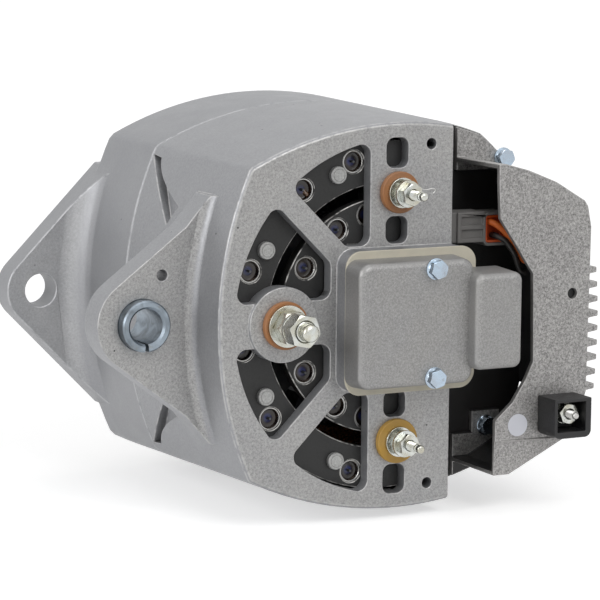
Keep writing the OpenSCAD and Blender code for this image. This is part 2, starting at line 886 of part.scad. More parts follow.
module fan() color("gray") placed() {
    difference() {
        union() {
            rod(fan_back, seat_depth, fan_hub_r);
            rod(fan_disc_d - fan_disc, fan_disc_d, fan_d / 2);
            for (i = [0:fan_blades - 1])
                rotate([0, 360 / fan_blades * i, 0])
                    translate([fan_hub_r + 12, 0, 0])
                        rotate([0, 24, 0])
                            block(fan_disc_d - fan_disc - blade_h, fan_disc_d - 1, 0,
                                  fan_d / 2 - fan_hub_r - 14,
                                  -blade_t / 2, blade_t / 2);
        }
        rod(fan_back - overcut, seat_depth + overcut, fan_seat_d / 2);
        rod(fan_back - 20, fan_back, fan_hub_r + 1);
    }
}

// Rectifier
plate_face = end_wall;
inner_face = end_wall + 0.8;
outer_diode_angles = [104, 126, 161, 189, 216.5, 256];
inner_diode_angles = [102, 122, 150, 210, 238, 258];
rectifier_bolt_d = 4;
rectifier_bolt_places = [
    [-49, 47], [-49, -47], [20, 68], [20, -68],
    [-31, 31.5], [-31, -31.5], [18, 43], [18, -43]
];
outer_plate_r = chamber_r - 1.5;
inner_plate_in_r = rear_hub_r + 6;
plate_bolt_places = [[-65, 34.8], [-27.5, 68.8], [-27.5, -68.8], [-65, -34.8]];
plate_bolt_d = 4.5;
plate_edge_x = chamber_edge_x - 1;
tapped_clear = tapped_d / 2 + 2;

function on_circle(r, a) = [r * cos(a), r * sin(a)];

module outer_rectifier_plate() color("black") placed() {
    difference() {
        intersection() {
            tube(plate_face, plate_face + rectifier_t, outer_plate_in_r, outer_plate_r);
            block(0, bay_depth, -body_half, plate_edge_x, -body_half, body_half);
        }
        rod(0, bay_depth, output_sleeve_r + 7, output_x);
        for (a = outer_diode_angles)
            rod(0, bay_depth, diode_d / 2, on_circle(outer_diode_r, a)[0], on_circle(outer_diode_r, a)[1]);
        for (i = [0:3])
            rod(0, bay_depth, rectifier_bolt_d / 2 + running, rectifier_bolt_places[i][0],
                rectifier_bolt_places[i][1]);
        for (p = plate_bolt_places)
            rod(0, bay_depth, plate_bolt_d / 2 + running, p[0], p[1]);
        upper_and_lower() {
            rod(0, bay_depth, terminal_sleeve_r + 4, terminal_x, terminal_z);
            block(0, bay_depth, tapped_x - tapped_clear, plate_edge_x + overcut, tapped_z - tapped_clear,
                  body_half);
        }
    }
}

module inner_rectifier_plate() color("black") placed() {
    difference() {
        intersection() {
            union() {
                tube(inner_face, inner_face + rectifier_t, inner_plate_in_r, inner_plate_out_r);
                rod(inner_face, inner_face + rectifier_t, output_sleeve_r + 5, output_x);
            }
            block(0, bay_depth, -body_half, plate_edge_x, -body_half, body_half);
        }
        block(0, bay_depth, chamber_left - 5, bay_edge_x, -inner_plate_in_r - 2, inner_plate_in_r + 2);
        rod(0, bay_depth, output_stud_d / 2 + running, output_x);
        for (a = inner_diode_angles)
            rod(0, bay_depth, diode_d / 2, on_circle(inner_diode_r, a)[0], on_circle(inner_diode_r, a)[1]);
        for (i = [4:7])
            rod(0, bay_depth, rectifier_bolt_d / 2 + running, rectifier_bolt_places[i][0],
                rectifier_bolt_places[i][1]);
        upper_and_lower() rod(0, bay_depth, terminal_sleeve_r + 4, terminal_x, terminal_z);
    }
}

module press_fit_diode(face, p) {
    rod(face + 0.6, face + rectifier_t + 3, diode_d / 2, p[0], p[1]);
    rod(end_wall + 0.1, face + 0.7, 1, p[0], p[1]);
}

module outer_diodes() color("steelblue") placed()
    for (a = outer_diode_angles)
        press_fit_diode(plate_face, on_circle(outer_diode_r, a));

module inner_diodes() color("steelblue") placed()
    for (a = inner_diode_angles)
        press_fit_diode(inner_face, on_circle(inner_diode_r, a));

module rectifier_bolts() color("silver") placed()
    for (i = [0:7]) {
        seat = (i < 4 ? plate_face : inner_face) + rectifier_t;
        x = rectifier_bolt_places[i][0];
        z = rectifier_bolt_places[i][1];
        rod(2.4, seat, rectifier_bolt_d / 2, x, z);
        hexagon(seat, seat + 3, 7, x, z);
    }

module inner_plate_insulators() color("tan") placed()
    for (i = [4:7])
        tube(end_wall, inner_face, rectifier_bolt_d / 2 + running, 4.2,
             rectifier_bolt_places[i][0], rectifier_bolt_places[i][1]);

module outer_plate_bolts() color("silver") placed()
    for (p = plate_bolt_places) {
        rod(plate_face - 2.4, plate_face, 4.15, p[0], p[1]);
        rod(plate_face, plate_face + rectifier_t + 5.5, plate_bolt_d / 2, p[0], p[1]);
    }

module outer_plate_nuts() color("silver") placed()
    for (p = plate_bolt_places)
        difference() {
            hexagon(plate_face + rectifier_t, plate_face + rectifier_t + 3.8, 8, p[0], p[1]);
            rod(plate_face, plate_face + rectifier_t + 9, plate_bolt_d / 2, p[0], p[1]);
        }

// Output terminal
module output_stud() color("khaki") placed() {
    seat = inner_face + rectifier_t;
    hexagon(seat, seat + 5.5, output_nut_af, output_x);
    rod(output_top, seat, output_stud_d / 2, output_x);
    rod(-output_reach + stud_chamfer, output_top, output_tip_d / 2, output_x);
    frustum(-output_reach, -output_reach + stud_chamfer,
            output_tip_d / 2 - stud_chamfer, output_tip_d / 2, output_x);
}

module output_insulator() color("peru") placed() {
    tube(output_flat, output_base, output_stud_d / 2 + running, 11.4, output_x);
    tube(output_base, inner_face, output_stud_d / 2 + running, output_sleeve_r, output_x);
}

module output_washers() color("khaki") placed() {
    tube(output_lower_nut, output_flat, output_stud_d / 2 + running, 10, output_x);
    tube(output_upper_nut, output_lock, output_stud_d / 2 + running, 7.6, output_x);
}

module output_nuts() color("khaki") placed()
    difference() {
        union() {
            hexagon(output_lock, output_lower_nut, output_nut_af, output_x);
            hexagon(output_top, output_upper_nut, output_nut_af, output_x, 0, 12);
        }
        rod(-output_reach, 0, output_stud_d / 2, output_x);
    }

// Signal terminals
terminal_foot = -insulator_t;
terminal_spacer_t = 2;
terminal_first_nut_t = 4;
terminal_washer_t = 1.6;
terminal_top_nut_t = 4.6;
terminal_nut_af = 9.5;
terminal_spacer_r = 7.3;
terminal_washer_r = 6.5;
first_nut_at = terminal_foot - terminal_spacer_t;
washer_at = first_nut_at - terminal_first_nut_t;
top_nut_at = washer_at - terminal_washer_t;

module terminal_insulator(z, r) {
    tube(terminal_foot, 0, terminal_stud_d / 2 + running, r, terminal_x, z);
    tube(0, end_wall + 1, terminal_stud_d / 2 + running, terminal_sleeve_r, terminal_x, z);
}

module upper_terminal_insulator() color("burlywood") placed() terminal_insulator(terminal_z, 10);

module lower_terminal_insulator() color("khaki") placed() terminal_insulator(-terminal_z, 10.8);

module terminal_studs() color("khaki") placed()
    upper_and_lower() {
        hexagon(end_wall + 1, end_wall + 4.5, terminal_nut_af, terminal_x, terminal_z);
        rod(-terminal_reach + 4, end_wall + 1, terminal_stud_d / 2, terminal_x, terminal_z);
        rod(-terminal_reach, -terminal_reach + 4, terminal_stud_d / 2 - 0.4, terminal_x, terminal_z);
    }

module terminal_washers() color("khaki") placed()
    upper_and_lower() {
        tube(first_nut_at, terminal_foot, terminal_stud_d / 2 + running, terminal_spacer_r, terminal_x,
             terminal_z);
        tube(top_nut_at, washer_at, terminal_stud_d / 2 + running, terminal_washer_r, terminal_x, terminal_z);
    }

module terminal_nuts() color("khaki") placed()
    upper_and_lower()
        difference() {
            union() {
                hexagon(washer_at, first_nut_at, terminal_nut_af, terminal_x, terminal_z);
                hexagon(top_nut_at - terminal_top_nut_t, top_nut_at, terminal_nut_af, terminal_x,
                        terminal_z, 20);
            }
            rod(-terminal_reach, 0, terminal_stud_d / 2, terminal_x, terminal_z);
        }

// Gasket, cover and its screws
gasket_face = -pad_h - gasket_t;
cover_face = gasket_face - cover_h;
block_face = cover_face - block_h;
block_left = 26.5;
block_corner = 4;
cover_right = bay_edge_x - 1;
cover_corner = 6;
cover_rim = 11;
screw_flange_r = 5.1;
screw_flange_t = 1.2;
screw_head_af = 8;
screw_head_h = 3.4;
flange_screw_grip = 7;

module cover_gasket() color("cornsilk") placed()
    difference() {
        along_y(gasket_face, -pad_h)
            rounded_rect(pad_left - 1, pad_right + 0.8, -pad_half_h - 0.6, pad_half_h + 0.2, pad_corner);
        block(gasket_face - overcut, -pad_h + overcut, chamber_left, chamber_right, -chamber_half_h,
              chamber_half_h);
        upper_and_lower()
            rod(gasket_face - overcut, -pad_h + overcut, cover_screw_d / 2 + running, cover_screw_x,
                cover_screw_z);
    }

module brush_cover() color("darkgray") placed()
    difference() {
        union() {
            along_y(cover_face, gasket_face)
                rounded_rect(pad_left - 1.5, cover_right, -cover_half_h, cover_half_h, cover_corner);
            along_y(block_face, gasket_face)
                rounded_rect(block_left, block_x, -block_half_h, block_half_h, block_corner);
        }
        block(cover_face + cover_wall, gasket_face + overcut, pad_left + 2, block_x - cover_wall,
              -cover_half_h + cover_rim, cover_half_h - cover_rim);
        block(block_face + cover_wall, gasket_face, block_left + cover_wall, block_x - cover_wall,
              -block_half_h + cover_wall, block_half_h - cover_wall);
        upper_and_lower()
            rod(cover_face - overcut, gasket_face + overcut, cover_screw_d / 2 + running, cover_screw_x,
                cover_screw_z);
    }

module flange_screw(seat, tip, x, z, turn) {
    rod(seat, tip, cover_screw_d / 2, x, z);
    rod(seat - screw_flange_t, seat, screw_flange_r, x, z);
    hexagon(seat - screw_flange_t - screw_head_h, seat - screw_flange_t, screw_head_af, x, z, turn);
}

module cover_screws() color("lightblue") placed() {
    flange_screw(cover_face, 0, cover_screw_x, cover_screw_z, 10);
    flange_screw(cover_face, 0, cover_screw_x, -cover_screw_z, 40);
}

// Brush gear
ring_mid = [for (i = [0, 1]) first_ring + i * ring_pitch + slip_ring_w / 2];
brush_face = slip_ring_d / 2 + running;

module brush_slot(d, clear) {
    block(d - brush_w / 2 - clear, d + brush_w / 2 + clear, holder_left - overcut, chamber_right - 2.5,
          -brush_h / 2 - clear, brush_h / 2 + clear);
}

module brush_holder() color("dimgray") placed()
    difference() {
        block(first_ring - 2, first_ring + ring_pitch + slip_ring_w + 1.4, holder_left, chamber_right,
              -holder_half_h, holder_half_h);
        for (d = ring_mid)
            brush_slot(d, brush_clear);
    }

module brush(d) {
    difference() {
        block(d - brush_w / 2, d + brush_w / 2, slip_ring_d / 2 - 1, brush_face + brush_len, -brush_h / 2,
              brush_h / 2);
        rod(d - brush_w, d + brush_w, brush_face);
    }
}

module rear_brush() color("black") placed() brush(ring_mid[0]);

module front_brush() color("black") placed() brush(ring_mid[1]);

function coil_point(a, r, length, turns) = [length * a / (360 * turns), r * cos(a), r * sin(a)];

// A round wire swept along a coil whose axis is X
module coil_spring(r, wire, length, turns) {
    steps = turns * 12;
    sides = 8;
    pts = [
        for (i = [0:steps])
            let (a = 360 * turns * i / steps, c = coil_point(a, r, length, turns))
            for (j = [0:sides - 1])
                let (b = 360 * j / sides)
                c + wire / 2 * [sin(b), cos(b) * cos(a), cos(b) * sin(a)]
    ];
    walls = [
        for (i = [0:steps - 1])
            for (j = [0:sides - 1])
                let (k = (j + 1) % sides)
                [i * sides + j, i * sides + k, (i + 1) * sides + k, (i + 1) * sides + j]
    ];
    ends = [
        [for (j = [sides - 1:-1:0]) j],
        [for (j = [0:sides - 1]) steps * sides + j]
    ];
    polyhedron(pts, concat(walls, ends));
}

module brush_spring(d) {
    start = brush_face + brush_len + spring_wire / 2;
    finish = chamber_right - 2.5 - spring_wire / 2;
    translate([start, d, 0]) coil_spring(spring_r, spring_wire, finish - start, spring_turns);
}

module rear_brush_spring() color("silver") placed() brush_spring(ring_mid[0]);

module front_brush_spring() color("silver") placed() brush_spring(ring_mid[1]);

// Regulator housing
fin_base_x = regulator_right + 1;

function fin_place(i) = (i - (fin_count - 1) / 2) * fin_pitch;
function fin_bow(i) = pow(fin_place(i), 2) / (2 * fin_bow_r);

module fin_profile() {
    polygon([
        [-1, -fin_root / 2], [fin_h, -fin_tip / 2], [fin_h, fin_tip / 2], [-1, fin_root / 2]
    ]);
}

module regulator_outline(inset) {
    polygon([
        [regulator_left - 20, regulator_top - inset], [55, regulator_top - inset], [67.9, 69 - inset],
        [83.4, 62.9 - inset], [99.9 - inset, 53.2 - inset / 2], [101.9 - inset,
50.4], [regulator_right + 2 - inset, 40],
        [regulator_right + 1 - inset, -41.5], [regulator_right - 6 - inset, -62 + inset],
        [60, -regulator_bottom + inset], [regulator_left - 20, -regulator_bottom + inset]
    ]);
}

module plate_cut() {
    polygon([
        [20, 71.8 - regulator_wall], [50.7, 71.8 - regulator_wall], [52, 46.1], [60.6, 33.7], [67.4, 23.6],
        [70.9, 18.6], [71.9, -24.5], [67.8, -33.2], [60.5, -44.2], [50.8, -52.5],
        [50.8, -regulator_bottom + regulator_wall], [20, -regulator_bottom + regulator_wall]
    ]);
}

// The stepped and slightly sloped part of the plate below the rib
module lower_facet() {
    rib_z = rib_left[1];
    step = facet_step - regulator_face;
    end = step + facet_slope * (regulator_bottom + rib_z);
    rotate([90, 0, 90]) linear_extrude(body_half)
        polygon([
            [-regulator_face - overcut, rib_z], [step, rib_z], [end, -regulator_bottom],
            [end, -body_half], [-regulator_face - overcut, -body_half]
        ]);
}

module regulator_housing() color("lightgray") placed() {
    face = -regulator_face;
    back = face + regulator_plate;
    foot = flange_screw_places[1];
    difference() {
        union() {
            difference() {
                along_y(face, bay_depth) regulator_outline(0);
                along_y(back, bay_depth + overcut) regulator_outline(regulator_wall);
                block(face - overcut, bay_depth + overcut, 0, regulator_left, -body_half, body_half);
                lower_facet();
                along_y(face - overcut, back + overcut) plate_cut();
            }
            for (i = [0:fin_count - 1])
                along_y(face, bay_depth)
                    translate([fin_base_x - fin_bow(i), fin_centre_z + fin_place(i)]) fin_profile();
            along_y(face - rib_h, face + rib_h)
                polygon([rib_left, rib_right, rib_right + [0, rib_w], rib_left + [0, rib_w]]);
            upper_and_lower()
                intersection() {
                    bulged(bay_depth - flange_t, bay_depth, draft * bay_depth - 1, draft * bay_depth - 1);
                    block(bay_depth - flange_t, bay_depth, regulator_left, 84, 66, 120);
                    union() {
                        block(bay_depth - flange_t, bay_depth, regulator_left, 84, regulator_top - 8, 120);
                        block(bay_depth - flange_t, bay_depth, regulator_left, 62, 0, 120);
                    }
                }
            intersection() {
                along_y(bay_depth - flange_t, bay_depth) regulator_outline(0);
                block(bay_depth - flange_t, bay_depth, foot[0] - foot_half_w, foot[0] + foot_half_w,
                      -regulator_bottom, foot[1] + foot_half_w);
            }
        }
        for (p = flange_screw_places)
            rod(bay_depth - flange_t - overcut, bay_depth + overcut, cover_screw_d / 2 + running, p[0], p[1]);
        rod(face - overcut, back + overcut, block_stud_r + running, block_stud_x, block_stud_z);
        rod(face - overcut, back + overcut, access_hole_r, access_hole[0], access_hole[1]);
    }
}

module flange_screws() color("lightblue") placed() {
    for (p = flange_screw_places)
        flange_screw(bay_depth - flange_t, bay_depth + flange_screw_grip, p[0], p[1], 10);
}

module_left = 76;
module_right = 99;
module_bottom = -38;
module_top = 26;
module_depth = 17.2;

module regulator_module() color("black") placed()
    block(-regulator_face + regulator_plate, module_depth + regulator_plate - regulator_face,
          module_left, module_right, module_bottom, module_top);

// Connector and leads
plug_front = 1.5;
plug_back = 15;
plug_bottom = 33.5;
plug_top = 48.5;
plug_rail_w = 2.4;
plug_rail_h = 1.4;
collar_left = 50.5;
collar_right = 66;
collar_bottom = 31.5;
collar_top = 48;
collar_wall = 1.5;
collar_corner = 3;
seal_t = 1.2;
seal_front = 2.3;
seal_floor = 7.5;
seal_back = 9;

module collar_outline(inset) {
    rounded_rect(collar_left + inset, collar_right - inset, collar_bottom + inset, collar_top - inset,
                 collar_corner - inset);
}

module connector_plug() color("gray") placed() {
    rail_front = plug_front + plug_rail_h;
    difference() {
        union() {
            block(rail_front, plug_back, bay_edge_x, collar_left + 1, plug_bottom, plug_top);
            along_y(plug_front, plug_back) collar_outline(0);
            for (z = [plug_bottom, (plug_bottom + plug_top - plug_rail_w) / 2, plug_top - plug_rail_w])
                block(plug_front, rail_front + 1, bay_edge_x + 4, collar_left + 1, z, z + plug_rail_w);
            block(plug_front, rail_front + 1, bay_edge_x + 4, bay_edge_x + 4 + plug_rail_w, plug_bottom,
                  plug_top);
        }
        along_y(plug_front - overcut, seal_back) collar_outline(collar_wall);
    }
}

module connector_seal() color("orangered") placed()
    difference() {
        along_y(seal_front, seal_back) collar_outline(collar_wall);
        along_y(seal_front - overcut, seal_floor) collar_outline(collar_wall + seal_t);
    }

module lead(points, r) {
    sides = 8;
    n = len(points);
    function direction(i) =
        let (a = points[max(i - 1, 0)], b = points[min(i + 1, n - 1)]) (b - a) / norm(b - a);
    pts = [
        for (i = [0:n - 1])
            let (t = direction(i), u = cross(t, [0, 0.1, 1]) / norm(cross(t, [0, 0.1, 1])), v = cross(t, u))
            for (j = [0:sides - 1])
                points[i] + r * (cos(360 * j / sides) * u + sin(360 * j / sides) * v)
    ];
    walls = [
        for (i = [0:n - 2])
            for (j = [0:sides - 1])
                let (k = (j + 1) % sides)
                [i * sides + j, (i + 1) * sides + j, (i + 1) * sides + k, i * sides + k]
    ];
    ends = [
        [for (j = [0:sides - 1]) j],
        [for (j = [sides - 1:-1:0]) (n - 1) * sides + j]
    ];
    polyhedron(pts, concat(walls, ends));
}

orange_lead_r = 1.6;
dark_lead_r = 1.4;
lead_start = seal_floor - running;
lead_end = module_left - running;
upper_lead = [
    [55, lead_start, 43.4], [55, 5, 43.4], [55.8, 2.6, 42.9], [58, 0.6, 41.4], [61, -0.4, 38.8],
    [64.5, -0.6, 35.6], [67.5, -0.4, 32.4], [70, 0.2, 29], [72, 0.8, 26], [73.4, 1, 23.8],
    [74.4, 1, 22.8], [lead_end, 1, 22.8]
];
lower_lead = [
    [58.5, lead_start, 36.2], [58.5, 5, 36.2], [59, 2.8, 36], [60, 0.8, 35.2], [61.6, -0.4, 33.8],
    [64.4, -0.6, 30.6], [67.3, 0.2, 27], [69.7, 1.6, 23.2], [71.7, 2.8, 19.9], [73.3, 3.2, 18],
    [74.4, 3.2, 17.4], [lead_end, 3.2, 17.4]
];

module signal_leads() color("orange") placed() {
    lead(upper_lead, orange_lead_r);
    lead(lower_lead, dark_lead_r);
}

// Terminal on the regulator housing
shroud_left = 75;
shroud_right = 96;
shroud_top = -41.5;
shroud_bottom = -61;
shroud_h = 16;
shroud_wall = 1.8;
shroud_thick_wall = 3.2;
shroud_corner = 3.5;
block_stud_r = 2.4;
block_tip_r = 2.1;
block_tip_h = 1;
block_nut_af = 9.5;
block_washer_t = 3;
block_washer_r = 5.6;
shroud_floor = -regulator_face - 3;
shroud_nut_top = shroud_floor - 8;

module terminal_shroud() color("black") placed()
    difference() {
        union() {
            along_y(-regulator_face - shroud_h, -regulator_face)
                rounded_rect(shroud_left, shroud_right, shroud_bottom, shroud_top, shroud_corner);
            block(-regulator_face - shroud_h, -regulator_face, shroud_left, shroud_right,
                  shroud_top - shroud_corner - 1, shroud_top);
        }
        block(-regulator_face - shroud_h - overcut, shroud_floor,
              shroud_left + shroud_wall, shroud_right - shroud_thick_wall,
              shroud_bottom + shroud_thick_wall, shroud_top - shroud_wall);
        rod(shroud_floor - overcut, 0, block_stud_r + running, block_stud_x, block_stud_z);
    }

module shroud_stud() color("lightgray") placed() {
    back = -regulator_face + regulator_plate;
    hexagon(back, back + 3.4, 9, block_stud_x, block_stud_z);
    rod(shroud_nut_top, back, block_stud_r, block_stud_x, block_stud_z);
    rod(-regulator_face - shroud_h - block_tip_h, shroud_nut_top, block_tip_r, block_stud_x, block_stud_z);
}

module shroud_nut() color("khaki") placed() {
    tube(shroud_floor - block_washer_t, shroud_floor, block_stud_r + running, block_washer_r,
         block_stud_x, block_stud_z);
    difference() {
        hexagon(shroud_nut_top, shroud_floor - block_washer_t, block_nut_af, block_stud_x, block_stud_z, 15);
        rod(shroud_nut_top - overcut, shroud_floor, block_stud_r, block_stud_x, block_stud_z);
    }
}

label_r = 5.5;
label_t = 0.3;
label_place = [63.6, -55.5];

module label_disc() color("white") placed()
    rod(-regulator_face - label_t, -regulator_face, label_r, label_place[0], label_place[1]);

rear_housing();
front_housing();
through_bolts();
hinge_bushing();
stator_core();
stator_windings();
rotor_shaft();
rotor_core();
rear_pole_half();
front_pole_half();
field_coil();
slip_ring_hub();
slip_rings();
front_bearing_outer_ring();
front_bearing_inner_ring();
front_bearing_balls();
front_bearing_cage();
rear_bearing_outer_ring();
rear_bearing_inner_ring();
rear_bearing_balls();
rear_bearing_cage();
bearing_retainer();
retainer_screws();
fan_spacer();
fan();
outer_rectifier_plate();
inner_rectifier_plate();
outer_diodes();
inner_diodes();
rectifier_bolts();
inner_plate_insulators();
outer_plate_bolts();
outer_plate_nuts();
output_stud();
output_insulator();
output_washers();
output_nuts();
upper_terminal_insulator();
lower_terminal_insulator();
terminal_studs();
terminal_washers();
terminal_nuts();
cover_gasket();
brush_cover();
cover_screws();
brush_holder();
rear_brush();
front_brush();
rear_brush_spring();
front_brush_spring();
regulator_housing();
flange_screws();
regulator_module();
connector_plug();
connector_seal();
signal_leads();
terminal_shroud();
shroud_stud();
shroud_nut();
label_disc();
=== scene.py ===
# Dresses a packed vehicle alternator: castings, hardware, electrics and a plain studio.
import json
import math

import bmesh
import bpy
from bpy.props import FloatProperty, FloatVectorProperty, IntProperty, PointerProperty
from bpy.types import Operator, Panel, PropertyGroup
from mathutils import Matrix, Vector

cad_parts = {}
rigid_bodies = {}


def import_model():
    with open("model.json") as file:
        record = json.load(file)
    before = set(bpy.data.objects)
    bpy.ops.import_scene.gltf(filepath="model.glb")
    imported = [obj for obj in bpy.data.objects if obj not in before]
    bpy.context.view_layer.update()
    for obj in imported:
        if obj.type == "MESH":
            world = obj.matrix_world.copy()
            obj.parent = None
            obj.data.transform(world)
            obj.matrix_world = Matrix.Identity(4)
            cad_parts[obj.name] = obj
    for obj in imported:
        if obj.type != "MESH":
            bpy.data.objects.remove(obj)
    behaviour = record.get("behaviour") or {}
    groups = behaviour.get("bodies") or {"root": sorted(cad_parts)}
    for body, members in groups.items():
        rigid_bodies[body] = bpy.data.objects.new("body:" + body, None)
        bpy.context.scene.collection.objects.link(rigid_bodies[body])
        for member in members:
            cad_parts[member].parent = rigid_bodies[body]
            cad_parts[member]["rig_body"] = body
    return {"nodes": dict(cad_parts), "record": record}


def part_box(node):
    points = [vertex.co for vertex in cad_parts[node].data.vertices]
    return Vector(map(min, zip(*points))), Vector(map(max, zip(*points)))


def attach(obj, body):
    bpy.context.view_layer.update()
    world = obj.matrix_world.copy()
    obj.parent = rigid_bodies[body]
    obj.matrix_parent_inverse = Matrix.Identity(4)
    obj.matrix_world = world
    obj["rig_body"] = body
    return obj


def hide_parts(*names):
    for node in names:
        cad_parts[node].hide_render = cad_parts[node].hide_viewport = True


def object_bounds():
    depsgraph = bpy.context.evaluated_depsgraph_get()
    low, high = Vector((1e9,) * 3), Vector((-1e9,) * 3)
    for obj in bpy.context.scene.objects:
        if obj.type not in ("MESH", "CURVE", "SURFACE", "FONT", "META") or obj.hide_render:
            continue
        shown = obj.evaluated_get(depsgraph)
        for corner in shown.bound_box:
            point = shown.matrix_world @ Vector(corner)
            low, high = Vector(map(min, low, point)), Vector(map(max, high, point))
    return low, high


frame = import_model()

bl_info = {
    "name": "Alternator Dressing",
    "version": (1, 0, 0),
    "blender": (4, 5, 0),
    "location": "View3D > Sidebar > Alternator",
    "description": "Finishes, fine hardware and a studio for a hinge-mount alternator",
    "category": "Object",
}

CAD_BOX = [list(corner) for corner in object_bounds()]
MM = 0.001
WELD = 0.000002
ROUND_STEPS = 48
SHARP = math.radians(28)
FLOAT = "NodeSocketFloat"
COLOUR = "NodeSocketColor"
WHITE = (1.0, 1.0, 1.0, 1.0)
BLACK = (0.0, 0.0, 0.0, 1.0)
DIRT = (0.09, 0.085, 0.08, 1.0)
# Near-black painted shade for the recesses inside the castings.
PAINTED_SHADE_BLACK = (0.016, 0.015, 0.015, 1.0)
RIM = "rim"
INSIDE = "inside"
FROM_MIDDLE = "from_middle"
GROUPS = {}
FINISHES = {}
SLOT_OF = {part["node"]: part["material_slot"] for part in frame["record"]["subparts"]}


# Settings

def colour_setting(name, description, default):
    """A colour that the panel can change."""
    return FloatVectorProperty(
        name=name, description=description, subtype="COLOR", size=3, min=0, max=1, default=default)


def length_setting(name, description, least, most, default):
    """A length that the panel can change."""
    return FloatProperty(
        name=name, description=description, unit="LENGTH", min=least, max=most, default=default)


def power_setting(name, description, default):
    """The power of a light that the panel can change."""
    return FloatProperty(name=name, description=description, unit="POWER", min=0, max=200, default=default)


class CastingSettings(PropertyGroup):
    """Sizes and colours of the cast aluminium."""

    rear_colour: colour_setting("Rear Casting", "Colour of the sanded rear casting", (0.37, 0.366, 0.36))
    # The sides' darker bluish grey is partly their own smoother cast skin and partly painted shade for sides
    # that face away from the lamps.
    side_colour: colour_setting(
        "Casting Sides", "Colour of the smoother, bluish sides of both castings", (0.315, 0.318, 0.33))
    # The front casting's lighter tone is partly its own and partly painted light, raised to offset the shade
    # on its far ear.
    front_colour: colour_setting("Front Casting", "Colour of the smoother front casting", (0.43, 0.432, 0.44))
    cover_colour: colour_setting("Brush Cover", "Colour of the brush cover", (0.315, 0.31, 0.302))
    regulator_colour: colour_setting(
        "Regulator Housing", "Colour of the finned regulator housing", (0.34, 0.333, 0.325))
    edge_round: length_setting("Edge Rounding", "Rounding of the sharp cast edges", 0.0002, 0.0007, 0.5 * MM)
    cover_round: length_setting(
        "Cover Rounding", "Rounding of the brush cover's edges", 0.0005, 0.004, 3.0 * MM)
    grain: length_setting("Grain", "Size of the sanded grain", 0.0004, 0.003, 1.1 * MM)


class HardwareSettings(PropertyGroup):
    """Sizes and colours of the nuts, studs, washers and screws."""

    blue_zinc: colour_setting("Blue Zinc", "Bright zinc of the bushing and the screws", (0.40, 0.46, 0.53))
    yellow_zinc: colour_setting(
        "Pale Yellow Zinc", "Slightly yellow zinc of the terminal parts", (0.47, 0.455, 0.38))
    thread_pitch: length_setting("Thread Pitch", "Pitch of the terminal threads", 0.0004, 0.002, 0.8 * MM)
    output_pitch: length_setting(
        "Output Thread Pitch", "Pitch of the output stud's thread", 0.0008, 0.002, 1.25 * MM)
    shaft_pitch: length_setting(
        "Shaft Thread Pitch", "Pitch of the thread on the shaft end", 0.001, 0.002, 1.5 * MM)
    chamfer_angle: FloatProperty(
        name="Nut Chamfer", description="Slope of the chamfer on nuts and screw heads",
        subtype="ANGLE", min=0.2, max=1.0, default=math.radians(30))


class ElectricSettings(PropertyGroup):
    """Colours of the insulating and electrical parts."""

    phenolic: colour_setting("Phenolic", "Brown laminated insulators", (0.36, 0.15, 0.05))
    fibre: colour_setting("Yellow Fibre", "Yellow insulator of the lower terminal", (0.47, 0.27, 0.045))
    gasket: colour_setting("Gasket", "Cream gasket under the brush cover", (0.62, 0.58, 0.47))
    # The blue is partly the resin's own colour and partly a painted sheen where light catches the middle of
    # the resin.
    potting: colour_setting("Diode Potting", "Blue resin in the rectifier diodes", (0.006, 0.012, 0.075))
    seal: colour_setting("Connector Seal", "Orange silicone seal", (0.62, 0.085, 0.01))


class StudioSettings(PropertyGroup):
    """The camera and the light."""

    camera_place: FloatVectorProperty(
        name="Camera", description="Where the camera stands",
        subtype="XYZ", unit="LENGTH", size=3, default=(-0.62447, -1.32381, 0.19396))
    camera_aim: FloatVectorProperty(
        name="Camera Aim", description="Direction in which the camera looks",
        subtype="DIRECTION", size=3, default=(0.45044, 0.88124, -0.14327))
    camera_roll: FloatProperty(
        name="Camera Roll", description="Turn of the camera about its own axis",
        subtype="ANGLE", default=math.radians(0.46))
    focal_length: FloatProperty(
        name="Focal Length", description="Focal length in millimetres on a 36 mm sensor",
        min=20, max=400, default=162.88)
    key_power: power_setting("Key Light", "Power of the large light over the camera", 19)
    fill_power: power_setting("Fill Light", "Power of the light on the left", 15)
    top_power: power_setting("Top Light", "Power of the light overhead", 5.5)


# Shader helpers

def connect(tree, socket, value):
    """Links a socket, or sets a plain value."""
    if isinstance(value, bpy.types.NodeSocket):
        tree.links.new(value, socket)
    else:
        socket.default_value = value


def add(tree, kind, inputs=None, **settings):
    """Adds a node with its settings and its inputs."""
    node = tree.nodes.new(kind)
    for key, value in settings.items():
        setattr(node, key, value)
    for key, value in (inputs or {}).items():
        connect(tree, node.inputs[key], value)
    return node


def maths(tree, operation, first, second=0.0, clamp=False):
    """A math node's result."""
    node = add(tree, "ShaderNodeMath", {0: first, 1: second}, operation=operation, use_clamp=clamp)
    return node.outputs[0]


def blend(tree, share, first, second, mode="MIX"):
    """The mix of two colours."""
    node = add(tree, "ShaderNodeMix", data_type="RGBA", blend_type=mode)
    for index, value in ((0, share), (6, first), (7, second)):
        connect(tree, node.inputs[index], value)
    return node.outputs[2]


def ramp(tree, value, low, high, out_low=0.0, out_high=1.0):
    """A value mapped from one range to another, and held to it."""
    node = add(tree, "ShaderNodeMapRange",
               {"Value": value, "From Min": low, "From Max": high, "To Min": out_low, "To Max": out_high})
    return node.outputs[0]


def noise(tree, place, scale, detail=3.0, distortion=0.0):
    """A noise value over a place."""
    node = add(tree, "ShaderNodeTexNoise",
               {"Vector": place, "Scale": scale, "Detail": detail, "Distortion": distortion})
    return node.outputs[0]


